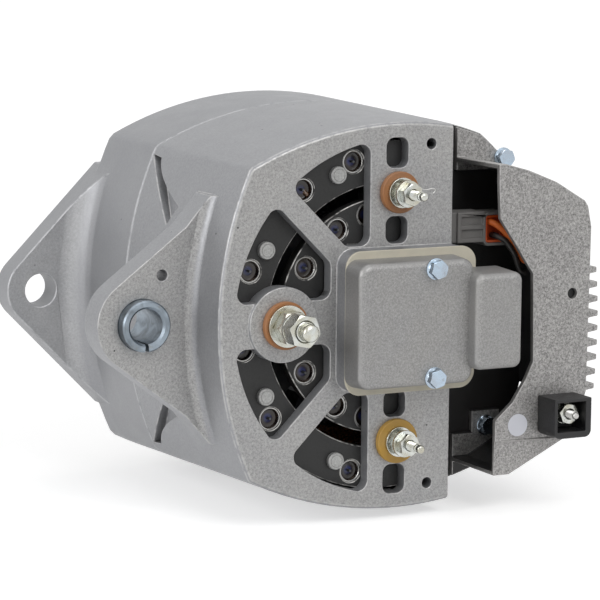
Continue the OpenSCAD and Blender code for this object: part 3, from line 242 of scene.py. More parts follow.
def new_group(name, inputs, outputs):
    """A node group with named sockets, and its input and output nodes."""
    group = bpy.data.node_groups.new(name, "ShaderNodeTree")
    for label, kind, default in inputs:
        socket = group.interface.new_socket(name=label, in_out="INPUT", socket_type=kind)
        socket.default_value = default
    for label, kind in outputs:
        group.interface.new_socket(name=label, in_out="OUTPUT", socket_type=kind)
    return group, group.nodes.new("NodeGroupInput").outputs, group.nodes.new("NodeGroupOutput").inputs


def cast_skin_group():
    """Sanded grain, cloudy stains and sparse pits of a die casting."""
    group, given, made = new_group(
        "Cast Skin",
        [("Colour", COLOUR, WHITE), ("Stain", COLOUR, WHITE), ("Grain Size", FLOAT, MM),
         ("Grain Depth", FLOAT, 1.0), ("Cloud", FLOAT, 0.5), ("Pits", FLOAT, 0.5)],
        [("Colour", COLOUR), ("Roughness", FLOAT), ("Height", FLOAT)])
    place = add(group, "ShaderNodeTexCoord").outputs["Object"]
    density = maths(group, "DIVIDE", 1.0, given["Grain Size"])
    grain = noise(group, place, density, 2.0)
    speck = noise(group, place, maths(group, "MULTIPLY", density, 2.7), 2.0)
    cloud = ramp(group, noise(group, place, 16.0, 3.0, 1.2), 0.35, 0.7)
    patch = ramp(group, noise(group, place, 55.0, 4.0, 0.6), 0.4, 0.68)
    cells = add(group, "ShaderNodeTexVoronoi", {"Vector": place, "Scale": 120.0, "Randomness": 1.0})
    sparse = ramp(group, noise(group, place, 38.0, 1.0), 0.6, 0.64)
    pit = maths(group, "MULTIPLY", ramp(group, cells.outputs["Distance"], 0.07, 0.04), sparse)
    pit = maths(group, "MULTIPLY", pit, given["Pits"])
    coarse = ramp(group, grain, 0.25, 0.75, -0.22, 0.22)
    tone = maths(group, "ADD", coarse, ramp(group, speck, 0.3, 0.7, -0.2, 0.2))
    tone = maths(group, "MULTIPLY", tone, given["Grain Depth"])
    tone = maths(group, "ADD", 1.0, tone)
    shade = add(group, "ShaderNodeCombineColor", {0: tone, 1: tone, 2: tone}).outputs[0]
    colour = blend(group, maths(group, "MULTIPLY", cloud, given["Cloud"]), given["Colour"], given["Stain"])
    colour = blend(group, maths(group, "MULTIPLY", patch, 0.12), colour, given["Stain"])
    colour = blend(group, 1.0, colour, shade, "MULTIPLY")
    colour = blend(group, pit, colour, (0.03, 0.03, 0.03, 1.0))
    connect(group, made["Colour"], colour)
    dull = ramp(group, patch, 0, 1, 0.5, 0.42)
    connect(group, made["Roughness"], maths(group, "ADD", ramp(group, speck, 0.3, 0.7, -0.05, 0.07), dull))
    height = maths(group, "ADD", maths(group, "MULTIPLY", grain, 0.6), maths(group, "MULTIPLY", speck, 0.35))
    connect(group, made["Height"], maths(group, "SUBTRACT", height, maths(group, "MULTIPLY", pit, 2.0)))
    return group


def worn_edge_group():
    """Masks of the rim that a rounded edge carries: where it is rubbed light, also used by the castings for a
    painted highlight, and where it is nicked.
    """
    group, given, made = new_group("Worn Edge", [("Amount", FLOAT, 0.5)], [("Mask", FLOAT), ("Nicks", FLOAT)])
    place = add(group, "ShaderNodeTexCoord").outputs["Object"]
    rim = add(group, "ShaderNodeAttribute", attribute_name=RIM).outputs["Fac"]
    broken = ramp(group, noise(group, place, 230.0, 4.0), 0.36, 0.56)
    mask = maths(group, "MULTIPLY", rim, broken)
    connect(group, made["Mask"], maths(group, "MULTIPLY", mask, given["Amount"], clamp=True))
    nick = ramp(group, noise(group, place, 120.0, 5.0), 0.66, 0.7)
    connect(group, made["Nicks"], maths(group, "MULTIPLY", rim, nick))
    return group


def plating_group():
    """The uneven tint and the fine haze of a zinc plating."""
    group, given, made = new_group(
        "Zinc Plating", [("Colour", COLOUR, WHITE), ("Tint", COLOUR, WHITE), ("Haze", FLOAT, 0.2)],
        [("Colour", COLOUR), ("Roughness", FLOAT), ("Height", FLOAT)])
    place = add(group, "ShaderNodeTexCoord").outputs["Object"]
    drift = ramp(group, noise(group, place, 130.0, 2.0, 0.8), 0.35, 0.65)
    haze = noise(group, place, 900.0, 3.0)
    spot = ramp(group, noise(group, place, 420.0, 3.0), 0.62, 0.72)
    colour = blend(group, drift, given["Colour"], given["Tint"])
    colour = blend(group, maths(group, "MULTIPLY", spot, 0.35), colour, (0.25, 0.24, 0.22, 1.0))
    connect(group, made["Colour"], colour)
    rough = maths(group, "ADD", given["Haze"], ramp(group, haze, 0.3, 0.7, -0.05, 0.08))
    connect(group, made["Roughness"], maths(group, "ADD", rough, maths(group, "MULTIPLY", spot, 0.12)))
    connect(group, made["Height"], haze)
    return group


def moulding_group():
    """Dust, fine texture and dull patches of moulded parts."""
    group, given, made = new_group(
        "Moulded Skin", [("Colour", COLOUR, WHITE), ("Dust", FLOAT, 0.3), ("Texture Size", FLOAT, MM)],
        [("Colour", COLOUR), ("Roughness", FLOAT), ("Height", FLOAT)])
    place = add(group, "ShaderNodeTexCoord").outputs["Object"]
    patch = ramp(group, noise(group, place, 90.0, 4.0, 0.5), 0.4, 0.7)
    fine = noise(group, place, maths(group, "DIVIDE", 1.0, given["Texture Size"]), 3.0)
    dusty = maths(group, "MULTIPLY", patch, given["Dust"])
    connect(group, made["Colour"], blend(group, dusty, given["Colour"], (0.32, 0.31, 0.29, 1.0)))
    connect(group, made["Roughness"], maths(group, "ADD", ramp(group, fine, 0.3, 0.7, -0.06, 0.08),
                                            ramp(group, patch, 0, 1, 0.42, 0.6)))
    connect(group, made["Height"], fine)
    return group


def use_group(tree, name, inputs):
    """Places a shared effect in a material, and returns its outputs."""
    builders = {
        "Cast Skin": cast_skin_group, "Worn Edge": worn_edge_group,
        "Zinc Plating": plating_group, "Moulded Skin": moulding_group,
    }
    if name not in GROUPS:
        GROUPS[name] = builders[name]()
    node = tree.nodes.new("ShaderNodeGroup")
    node.node_tree = GROUPS[name]
    for key, value in inputs.items():
        connect(tree, node.inputs[key], value)
    return node.outputs


def new_material(name):
    """A material with an empty tree, its surface shader and that shader's inputs."""
    material = bpy.data.materials.new(name)
    material.use_nodes = True
    tree = material.node_tree
    shader = tree.nodes["Principled BSDF"]
    return material, tree, shader.inputs


def opaque(colour):
    """A colour with its alpha."""
    return (colour[0], colour[1], colour[2], 1.0)


def bump(tree, height, strength, distance):
    """A bump normal from a height."""
    node = add(tree, "ShaderNodeBump", {"Height": height, "Strength": strength, "Distance": distance})
    return node.outputs[0]


# Finishes

def cast_finish(name, colour, side, stain, grain, depth, cloud, pits, wear_and_highlight, metallic=0.55):
    """Die-cast aluminium: grainy faces, smoother sides darkened partly as painted shade, rims partly rubbed
    and partly a painted highlight, and insides in near-black painted shade.
    """
    material, tree, shader = new_material(name)
    normal = add(tree, "ShaderNodeNewGeometry").outputs["Normal"]
    along = maths(tree, "ABSOLUTE", add(tree, "ShaderNodeSeparateXYZ", {0: normal}).outputs[1])
    # Faces along Y take the face colour and all other faces the darker side colour: partly the sides' own
    # skin, partly painted shade on the sides.
    facing = ramp(tree, along, 0.7, 0.9)
    skin = use_group(tree, "Cast Skin", {
        "Colour": blend(tree, facing, opaque(side), opaque(colour)), "Stain": opaque(stain),
        "Grain Size": grain, "Grain Depth": ramp(tree, facing, 0, 1, 0.4 * depth, depth),
        "Cloud": cloud, "Pits": pits})
    worn = use_group(tree, "Worn Edge", {"Amount": wear_and_highlight})
    inside = add(tree, "ShaderNodeAttribute", attribute_name=INSIDE).outputs["Fac"]
    # Rims are lightened to half again the face colour: partly rubbed bare metal, partly a painted highlight
    # on the rounding.
    bright = tuple(min(1.0, channel * 1.5) for channel in colour)
    base = blend(tree, worn["Mask"], skin["Colour"], opaque(bright))
    base = blend(tree, maths(tree, "MULTIPLY", worn["Nicks"], wear_and_highlight), base, DIRT)
    # Faces marked inside take near-black painted shade, for recesses where shade falls.
    connect(tree, shader["Base Color"], blend(tree, inside, base, PAINTED_SHADE_BLACK))
    smooth = maths(tree, "SUBTRACT", skin["Roughness"], maths(tree, "MULTIPLY", worn["Mask"], 0.14))
    connect(tree, shader["Roughness"], smooth)
    connect(tree, shader["Metallic"], ramp(tree, inside, 0, 1, metallic, 0.0))
    connect(tree, shader["Normal"], bump(tree, skin["Height"], 0.35, 0.25 * MM))
    return material


def zinc_finish(name, colour, tint, haze):
    """Zinc-plated steel."""
    material, tree, shader = new_material(name)
    skin = use_group(tree, "Zinc Plating", {"Colour": opaque(colour), "Tint": opaque(tint), "Haze": haze})
    connect(tree, shader["Base Color"], skin["Colour"])
    connect(tree, shader["Roughness"], skin["Roughness"])
    shader["Metallic"].default_value = 1.0
    connect(tree, shader["Normal"], bump(tree, skin["Height"], 0.15, 0.05 * MM))
    return material


def moulded_finish(name, colour, dust, texture, depth=0.2, metallic=0.0):
    """A moulded, painted or fibre part."""
    material, tree, shader = new_material(name)
    skin = use_group(tree, "Moulded Skin", {"Colour": opaque(colour), "Dust": dust, "Texture Size": texture})
    connect(tree, shader["Base Color"], skin["Colour"])
    connect(tree, shader["Roughness"], skin["Roughness"])
    shader["Metallic"].default_value = metallic
    connect(tree, shader["Normal"], bump(tree, skin["Height"], depth, 0.2 * MM))
    return material


def rimmed_finish(name, colour, rim):
    """Black painted plate with its paint rubbed off along the rims."""
    material, tree, shader = new_material(name)
    skin = use_group(tree, "Moulded Skin", {"Colour": opaque(colour), "Dust": 0.02, "Texture Size": 1.2 * MM})
    worn = use_group(tree, "Worn Edge", {"Amount": 1.0})["Mask"]
    connect(tree, shader["Base Color"], blend(tree, worn, skin["Colour"], opaque(rim)))
    connect(tree, shader["Roughness"], skin["Roughness"])
    connect(tree, shader["Metallic"], maths(tree, "MULTIPLY", worn, 0.6))
    connect(tree, shader["Normal"], bump(tree, skin["Height"], 0.2, 0.2 * MM))
    return material


def layered_finish(name, colour, gap_colour, pitch):
    """Thin sheets stacked along the shaft."""
    material, tree, shader = new_material(name)
    place = add(tree, "ShaderNodeTexCoord").outputs["Object"]
    along = add(tree, "ShaderNodeSeparateXYZ", {0: place}).outputs[1]
    step = maths(tree, "FRACT", maths(tree, "DIVIDE", along, pitch))
    gap = ramp(tree, step, 0.7, 0.85)
    stain = ramp(tree, noise(tree, place, 70.0, 3.0), 0.35, 0.7, 0.0, 0.5)
    colour_now = blend(tree, gap, opaque(colour), opaque(gap_colour))
    connect(tree, shader["Base Color"], blend(tree, stain, colour_now, opaque(gap_colour)))
    connect(tree, shader["Roughness"], ramp(tree, stain, 0, 0.5, 0.45, 0.7))
    shader["Metallic"].default_value = 0.7
    connect(tree, shader["Normal"], bump(tree, maths(tree, "SUBTRACT", 1.0, gap), 0.5, 0.2 * MM))
    return material


def wire_finish(name, colour, dark, wire):
    """Rows of varnished wire."""
    material, tree, shader = new_material(name)
    place = add(tree, "ShaderNodeTexCoord").outputs["Object"]
    strands = add(tree, "ShaderNodeTexVoronoi", {"Vector": place, "Scale": 1.0 / wire}).outputs["Distance"]
    drift = ramp(tree, noise(tree, place, 60.0, 2.0), 0.35, 0.65)
    base = blend(tree, drift, opaque(colour), opaque(dark))
    connect(tree, shader["Base Color"], blend(tree, ramp(tree, strands, 0.35, 0.75), base, opaque(dark)))
    shader["Roughness"].default_value = 0.3
    shader["Coat Weight"].default_value = 0.4
    connect(tree, shader["Normal"], bump(tree, ramp(tree, strands, 0.1, 0.7, 1.0, 0.0), 0.6, 0.5 * MM))
    return material


def potting_finish(name, colour, edge, reach):
    """Glossy cast resin that darkens away from each diode's middle; the blue middle is partly the resin's
    colour and partly a painted sheen.
    """
    material, tree, shader = new_material(name)
    place = add(tree, "ShaderNodeTexCoord").outputs["Object"]
    cloud = ramp(tree, noise(tree, place, 240.0, 3.0), 0.3, 0.7, 0.7, 1.6)
    tone = add(tree, "ShaderNodeCombineColor", {0: cloud, 1: cloud, 2: cloud}).outputs[0]
    middle = add(tree, "ShaderNodeAttribute", attribute_name=FROM_MIDDLE).outputs["Fac"]
    spread = ramp(tree, middle, reach * 0.7, reach * 1.3)
    base = blend(tree, spread, opaque(colour), opaque(edge))
    connect(tree, shader["Base Color"], blend(tree, 1.0, base, tone, "MULTIPLY"))
    connect(tree, shader["Roughness"], ramp(tree, cloud, 0.7, 1.6, 0.25, 0.4))
    shader["Coat Weight"].default_value = 0.3
    return material


def all_finishes(scene):
    """Every finish, by the name of its material slot."""
    cast = scene.alternator_castings
    hardware = scene.alternator_hardware
    electric = scene.alternator_electrics
    stain = (0.27, 0.275, 0.29)
    return {
        "cast_rear": cast_finish(
            "Rear casting", cast.rear_colour, cast.side_colour, stain, cast.grain, 1.1, 0.3, 0.9, 0.5),
        "cast_front": cast_finish(
            "Front casting", cast.front_colour, cast.side_colour, stain, cast.grain, 0.6, 0.6, 0.6, 0.35),
        "cast_cover": cast_finish(
            "Cover casting", cast.cover_colour, cast.cover_colour, stain, 0.8 * cast.grain, 1.0, 0.3, 0.0,
            0.25),
        "cast_regulator": cast_finish(
            "Regulator casting", cast.regulator_colour, cast.regulator_colour, (0.27, 0.26, 0.26),
            cast.grain, 1.9, 0.3, 0.1, 0.5),
        "zinc_blue": zinc_finish("Blue zinc", hardware.blue_zinc, (0.44, 0.55, 0.66), 0.2),
        "zinc_yellow": zinc_finish("Pale yellow zinc", hardware.yellow_zinc, (0.6, 0.62, 0.6), 0.22),
        "steel": zinc_finish("Machined steel", (0.55, 0.55, 0.54), (0.46, 0.45, 0.43), 0.3),
        "lamination": layered_finish("Stacked laminations", (0.2, 0.2, 0.21), (0.04, 0.035, 0.03), 0.7 * MM),
        "pole_steel": moulded_finish("Forged poles", (0.075, 0.08, 0.085), 0.25, 2 * MM, 0.5, 0.6),
        "enamel_copper": wire_finish("Enamelled wire", (0.36, 0.12, 0.03), (0.09, 0.03, 0.012), 1.3 * MM),
        "bushing_zinc": zinc_finish("Bushing zinc", (0.30, 0.35, 0.40), (0.17, 0.195, 0.22), 0.38),
        "slip_copper": zinc_finish("Slip ring copper", (0.62, 0.34, 0.16), (0.5, 0.27, 0.14), 0.25),
        "rectifier_black": rimmed_finish("Painted rectifier plate", (0.006, 0.006, 0.006), (0.5, 0.49, 0.47)),
        "diode_blue": potting_finish("Diode resin", electric.potting, (0.018, 0.012, 0.009), 0.0021),
        "bronze_cup": zinc_finish("Tarnished cup", (0.2, 0.15, 0.11), (0.1, 0.075, 0.06), 0.25),
        "bolt_face": cast_finish("Peened bolt face", (0.42, 0.42, 0.41), (0.42, 0.42, 0.41), stain, 0.8 * MM,
                                 1.0, 0.2, 0.0, 0.8, 0.4),
        "phenolic_brown": moulded_finish("Brown phenolic", electric.phenolic, 0.15, 0.7 * MM, 0.35),
        "fibre_yellow": moulded_finish("Yellow fibre", electric.fibre, 0.12, 0.7 * MM, 0.35),
        "gasket_cream": moulded_finish("Cream gasket", electric.gasket, 0.2, 0.5 * MM, 0.5),
        "moulded_black": moulded_finish("Black moulding", (0.006, 0.006, 0.007), 0.035, 0.8 * MM),
        "moulded_grey": moulded_finish("Grey moulding", (0.13, 0.125, 0.12), 0.12, 0.8 * MM),
        "silicone_orange": moulded_finish("Orange silicone", electric.seal, 0.05, 0.9 * MM),
        "lead_orange": moulded_finish("Orange insulation", (0.75, 0.16, 0.02), 0.05, 1.2 * MM),
        "carbon": moulded_finish("Brush carbon", (0.03, 0.03, 0.03), 0.1, 0.6 * MM, 0.5, 0.3),
        "fan_steel": cast_finish(
            "Fan steel", (0.3, 0.3, 0.3), (0.3, 0.3, 0.3), stain, 1.5 * MM, 0.3, 0.4, 0.0, 0.5, 0.8),
        "label_white": moulded_finish("White paper", (0.68, 0.69, 0.75), 0.06, 0.4 * MM, 0.1),
        "lead_black": moulded_finish("Black insulation", (0.02, 0.018, 0.017), 0.08, 1.2 * MM),
        "clear_varnish": wire_finish("Varnished lead", (0.22, 0.12, 0.06), (0.06, 0.035, 0.02), 1.0 * MM),
    }


# Mesh helpers

def merged_copy(node):
    """A CAD node's mesh with its loose triangles merged and its flat faces made whole."""
    bm = bmesh.new()
    bm.from_mesh(frame["nodes"][node].data)
    bmesh.ops.remove_doubles(bm, verts=bm.verts, dist=WELD)
    bmesh.ops.dissolve_limit(bm, angle_limit=math.radians(0.4), verts=bm.verts, edges=bm.edges)
    return bm


def crisp_edges(bm):
    """The edges where two faces meet at a sharp angle."""
    return [e for e in bm.edges if len(e.link_faces) == 2 and e.calc_face_angle(0.0) > SHARP]


def outline(start, points):
    """Points of (radius, depth from the start) in millimetres as an outline in metres."""
    return [(radius * MM, start + depth * MM) for radius, depth in points]


def soften(bm, width, segments=3, hidden=None):
    """Rounds every crisp edge outside the hidden plane y, and marks the rounding as a rim."""
    edges = crisp_edges(bm)
    if hidden is not None:
        on_plane = 0.1 * MM
        edges = [e for e in edges if any(abs(v.co.y - hidden) > on_plane for v in e.verts)]
    rim = bm.faces.layers.float.new(RIM)
    made = bmesh.ops.bevel(bm, geom=edges, offset=width, segments=segments,
                           profile=0.5, affect="EDGES", clamp_overlap=False, material=-1)
    for face in made["faces"]:
        face[rim] = 1.0


def pillow(bm, x, z, y, corner, edge, lean, segments=5):
    """A rounded box over the ranges x and z, from its face at y[0] back to y[1], widening by its lean."""
    part = bmesh.new()
    corners = [(x[0], z[0]), (x[1], z[0]), (x[1], z[1]), (x[0], z[1])]
    part.faces.new([part.verts.new((px, y[1], pz)) for px, pz in corners])
    bmesh.ops.bevel(part, geom=part.verts[:], offset=corner, segments=6, profile=0.5,
                    affect="VERTICES", material=-1)
    made = bmesh.ops.extrude_face_region(part, geom=part.faces[:])["geom"]
    raised = [item for item in made if isinstance(item, bmesh.types.BMVert)]
    middle = Vector(((x[0] + x[1]) / 2, 0, (z[0] + z[1]) / 2))
    for vert in raised:
        vert.co.y = y[0]
        vert.co.x -= math.copysign(lean, vert.co.x - middle.x)
        vert.co.z -= math.copysign(lean, vert.co.z - middle.z)
    rims = [e for e in part.edges if all(v in raised for v in e.verts)]
    bmesh.ops.bevel(part, geom=rims, offset=edge, segments=segments, profile=0.5, affect="EDGES", material=-1)
    bmesh.ops.recalc_face_normals(part, faces=part.faces)
    copy_into(part, bm)


def smooth_path(points, steps=6):
    """A smooth row of points through the given ones."""
    path = []
    ends = [points[0] * 2 - points[1]] + list(points) + [points[-1] * 2 - points[-2]]
    for before, here, there, after in zip(ends, ends[1:], ends[2:], ends[3:]):
        for step in range(steps):
            t = step / steps
            square = (2 * before - 5 * here + 4 * there - after) * t ** 2
            cube = (3 * here - before - 3 * there + after) * t ** 3
            path.append(0.5 * (2 * here + (there - before) * t + square + cube))
    return path + [points[-1]]


def wire(bm, points, radius, steps=6):
    """A round wire through points, with closed ends."""
    curve = bpy.data.curves.new("Wire", "CURVE")
    curve.dimensions = "3D"
    curve.bevel_depth = radius
    curve.bevel_resolution = 3
    curve.use_fill_caps = True
    path = smooth_path([Vector(point) for point in points], steps)
    spline = curve.splines.new("POLY")
    spline.points.add(len(path) - 1)
    for place, point in zip(path, spline.points):
        point.co = (*place, 1)
    holder = bpy.data.objects.new("Wire", curve)
    mesh = bpy.data.meshes.new_from_object(holder)
    bm.from_mesh(mesh)
    bpy.data.objects.remove(holder)
    bpy.data.curves.remove(curve)
    bpy.data.meshes.remove(mesh)


def stand_for(bm, node, **settings):
    """Turns a bmesh into the piece that stands in the place of a CAD node."""
    return finish_piece(bm, node + "_dressed", SLOT_OF[node], body_of(node), [node], **settings)


def finish_piece(bm, name, slot, body, replaced=(), smooth=math.radians(40), outward=True, finish=None):
    """Turns a bmesh into a piece that rides on a body, with its finish."""
    if outward:
        bmesh.ops.remove_doubles(bm, verts=bm.verts, dist=WELD)
        bmesh.ops.recalc_face_normals(bm, faces=bm.faces)
    mesh = bpy.data.meshes.new(name)
    bm.to_mesh(mesh)
    bm.free()
    mesh.polygons.foreach_set("use_smooth", [True] * len(mesh.polygons))
    mesh.set_sharp_from_angle(angle=smooth)
    piece = bpy.data.objects.new(name, mesh)
    bpy.context.scene.collection.objects.link(piece)
    weighted = piece.modifiers.new("Even shading", "WEIGHTED_NORMAL")
    weighted.keep_sharp = True
    mesh.materials.append(FINISHES[finish or slot])
    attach(piece, body)
    if replaced:
        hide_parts(*replaced)
    return piece


def body_of(node):
    """The body that a CAD node rides on."""
    return frame["nodes"][node]["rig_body"]


def dress(node, width, segments=3, inside=None, hidden=None):
    """Stands a softened copy in a CAD node's place, with the faces that inside() picks marked for painted
    shade.
    """
    bm = merged_copy(node)
    soften(bm, width, segments, hidden)
    if inside:
        mark = bm.faces.layers.float.new(INSIDE)
        bm.normal_update()
        for face in bm.faces:
            face[mark] = 1.0 if inside(face.calc_center_median(), face.normal) else 0.0
    return stand_for(bm, node, outward=False)


def solids_of(node):
    """The box of each separate solid in a CAD node, as (low corner, high corner)."""
    bm = merged_copy(node)
    waiting = set(bm.verts)
    boxes = []
    while waiting:
        reached = [waiting.pop()]
        for vert in reached:
            for edge in vert.link_edges:
                other = edge.other_vert(vert)
                if other in waiting:
                    waiting.discard(other)
                    reached.append(other)
        low = Vector(min(v.co[axis] for v in reached) for axis in range(3))
        high = Vector(max(v.co[axis] for v in reached) for axis in range(3))
        boxes.append((low, high))
    bm.free()
    return sorted(boxes, key=lambda box: tuple(box[0]))


def lathe(bm, x, z, profile, steps=ROUND_STEPS, closed=False, start=0.0, sweep=math.tau):
    """Spins a profile of (radius, depth) points round a line along Y through x and z."""
    across, up = math.cos(start), math.sin(start)
    verts = [bm.verts.new((x + radius * across, y, z + radius * up)) for radius, y in profile]
    pairs = list(zip(verts, verts[1:]))
    if closed:
        pairs.append((verts[-1], verts[0]))
    edges = [bm.edges.new(pair) for pair in pairs]
    bmesh.ops.spin(bm, geom=verts + edges, cent=(x, 0, z), axis=(0, 1, 0),
                   angle=sweep, steps=steps, use_merge=sweep == math.tau)


def ring_in(bm, edges, place):
    """Extrudes open rims and places their new corners, and returns the new rims."""
    made = bmesh.ops.extrude_edge_only(bm, edges=edges)["geom"]
    for vert in made:
        if isinstance(vert, bmesh.types.BMVert):
            place(vert)
    return [e for e in made if isinstance(e, bmesh.types.BMEdge) and e.is_boundary]


def hexagon(bm, x, z, near, far, across, bore, turn=0.0, both_ends=True):
    """A chamfered hexagon from its near to its far depth, with a bore, or closed where bore is 0."""
    slope = math.tan(bpy.context.scene.alternator_hardware.chamfer_angle)
    flat = across / 2 * 0.97
    made = bmesh.ops.create_cone(bm, cap_ends=False, segments=72, radius1=1, radius2=1, depth=2)

    def outer(vert):
        angle = math.atan2(vert.co.y, vert.co.x)
        reach = across / 2 / math.cos((angle - turn) % (math.pi / 3) - math.pi / 6)
        drop = (reach - flat) * slope
        y = near + drop if vert.co.z < 0 else far - (drop if both_ends else 0)
        vert.co = (x + reach * math.cos(angle), y, z + reach * math.sin(angle))

    def circle(radius, inset):
        def place(vert):
            out = Vector((vert.co.x - x, 0, vert.co.z - z)).normalized() * radius
            y = near + inset if vert.co.y < (near + far) / 2 else far - inset
            vert.co = (x + out.x, y, z + out.z)
        return place

    for vert in made["verts"]:
        outer(vert)
    rims = [e for e in bm.edges if e.is_boundary and e.verts[0] in made["verts"]]
    rims = ring_in(bm, rims, circle(flat, 0))
    if bore:
        lip = 0.05 * across
        rims = ring_in(bm, rims, circle(bore + lip, 0))
        rims = ring_in(bm, rims, circle(bore, lip))
        bmesh.ops.bridge_loops(bm, edges=rims)
    else:
        bmesh.ops.holes_fill(bm, edges=rims, sides=0)


def threaded_rod(bm, x, z, near, far, radius, pitch, turn_steps=24):
    """A rod with a helical thread, cut square at both ends."""
    root = radius - 0.55 * pitch
    turns = math.ceil((far - near) / pitch) + 4
    tooth = [(root, 0), (radius, 0.36 * pitch), (radius, 0.5 * pitch), (root, 0.86 * pitch), (root, pitch)]
    start = near - 2 * pitch
    part = bmesh.new()
    verts = [part.verts.new((x + reach, start + rise, z)) for reach, rise in tooth]
    edges = [part.edges.new(pair) for pair in zip(verts, verts[1:])]
    bmesh.ops.spin(part, geom=verts + edges, cent=(x, 0, z), axis=(0, 1, 0), angle=math.tau * turns,
                   dvec=(0, pitch / turn_steps, 0), steps=turns * turn_steps)
    bmesh.ops.remove_doubles(part, verts=part.verts, dist=WELD)
    for y, side in ((near, -1), (far, 1)):
        bmesh.ops.bisect_plane(part, geom=part.verts[:] + part.edges[:] + part.faces[:],
                               plane_co=(x, y, z), plane_no=(0, side, 0), clear_outer=True, dist=WELD / 4)
        rim = [e for e in part.edges if e.is_boundary and all(abs(v.co.y - y) < WELD for v in e.verts)]
        bmesh.ops.holes_fill(part, edges=rim, sides=0)
    bmesh.ops.recalc_face_normals(part, faces=part.faces)
    copy_into(part, bm)


def copy_into(part, bm):
    """Adds one bmesh to another, and frees it."""
    mesh = bpy.data.meshes.new("part")
    part.to_mesh(mesh)
    part.free()
    bm.from_mesh(mesh)
    bpy.data.meshes.remove(mesh)


def centre(low, high):
    """The x and z of a box's middle."""
    return (low.x + high.x) / 2, (low.z + high.z) / 2


# Operators

class ALTERNATOR_OT_finishes(Operator):
    """Builds every finish and gives it to the carried-over parts"""
    bl_idname = "alternator.finishes"
    bl_label = "Finishes"

    def execute(self, context):
        FINISHES.update(all_finishes(context.scene))
        for node, part in frame["nodes"].items():
            for index in range(len(part.material_slots)):
                part.material_slots[index].material = FINISHES[SLOT_OF[node]]
            if not part.material_slots:
                part.data.materials.append(FINISHES[SLOT_OF[node]])
        return {"FINISHED"}


class ALTERNATOR_OT_castings(Operator):
    """Rounds the edges of the rear and the front casting"""
    bl_idname = "alternator.castings"
    bl_label = "Castings"

    def execute(self, context):
        width = context.scene.alternator_castings.edge_round
        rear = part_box("rear_housing")[0].y + 10 * MM
        wall_back = rear + 6.7 * MM
        chamber = 86.5 * MM
        bay_left, bay_half, bay_floor = 33 * MM, 75 * MM, rear + 28 * MM

        # Picks the faces of the chamber behind the end wall and the floor of the regulator bay, which take
        # painted shade.
        def painted(middle, normal):
            in_bay = middle.x > bay_left and abs(middle.z) < bay_half and middle.y > bay_floor
            in_chamber = math.hypot(middle.x, middle.z) < chamber and middle.y > wall_back + 0.8 * MM
            return in_chamber or (in_bay and normal.y < -0.5)

        dress("rear_housing", width, inside=painted, hidden=wall_back)
        dress("front_housing", 1.5 * width)
        return {"FINISHED"}


class ALTERNATOR_OT_cover(Operator):
    """Rounds the brush cover and its gasket"""
    bl_idname = "alternator.cover"
    bl_label = "Brush Cover"

    def execute(self, context):
        rounding = context.scene.alternator_castings.cover_round
        low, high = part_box("brush_cover")
        plate_right = 31 * MM
        plate_face = low.y + 7.5 * MM
        block_left = 26.5 * MM
        block_half = 23.7 * MM
        lean = 0.8 * MM
        bm = bmesh.new()
        pillow(bm, (low.x, plate_right), (low.z, high.z), (plate_face, high.y), 6 * MM, rounding, lean)
        pillow(bm, (block_left, high.x), (-block_half, block_half), (low.y, high.y), 4 * MM, rounding, lean)
        stand_for(bm, "brush_cover")
        dress("cover_gasket", 0.3 * MM, 2)
        return {"FINISHED"}


class ALTERNATOR_OT_regulator(Operator):
    """Rounds the regulator housing and marks its ejector pins"""
    bl_idname = "alternator.regulator"
    bl_label = "Regulator Housing"

    def execute(self, context):
        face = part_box("regulator_housing")[0].y + 0.5 * MM
        middle_x, fins_left, flange_low, flange_back = 75 * MM, 101.5 * MM, 66 * MM, face + 2.6 * MM

        # Picks the inner walls of the housing's cavity, which take painted shade.
        def painted(place, normal):
            within = place.x < fins_left and place.y > flange_back and place.z < flange_low
            return within and normal.dot(Vector((middle_x, place.y, 0)) - place) > 0

        dress("regulator_housing", 0.5 * MM, inside=painted)
        dress("regulator_module", 0.6 * MM)
        dress("label_disc", 0.08 * MM, 2)
        bm = bmesh.new()
        ring = outline(face, ((4.3, 0.05), (4.25, -0.08), (4.0, -0.08), (3.9, 0.05)))
        for x, z in ((58.8, 64.3), (92.5, 47.6), (95.7, -3.9), (97.9, -39)):
            lathe(bm, x * MM, z * MM, ring, closed=True)
        finish_piece(bm, "ejector_marks", "cast_regulator", body_of("regulator_housing"))
        return {"FINISHED"}


class ALTERNATOR_OT_hinge(Operator):
    """Rounds the split bushing in the rear ear"""
    bl_idname = "alternator.hinge"
    bl_label = "Hinge Bushing"

    def execute(self, context):
        low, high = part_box("hinge_bushing")
        bore, wide = 8.35 * MM, (high.x - low.x) / 2
        half_slit, inner, outer = 0.9 * MM, 1.0 * MM, 0.7 * MM
        gap = math.asin(half_slit / (bore + wide) * 2)
        wall = [(bore, low.y + inner), (bore + inner, low.y), (wide - outer, low.y), (wide, low.y + outer),
                (wide, high.y - outer), (wide - outer, high.y), (bore + inner, high.y),
                (bore, high.y - inner)]
        bm = bmesh.new()
        lathe(bm, (low.x + high.x) / 2, 0, wall, 64, True, -math.pi / 2 - gap, math.tau - 2 * gap)
        bmesh.ops.holes_fill(bm, edges=[e for e in bm.edges if e.is_boundary], sides=0)
        stand_for(bm, "hinge_bushing", smooth=math.radians(25), finish="bushing_zinc")
        return {"FINISHED"}


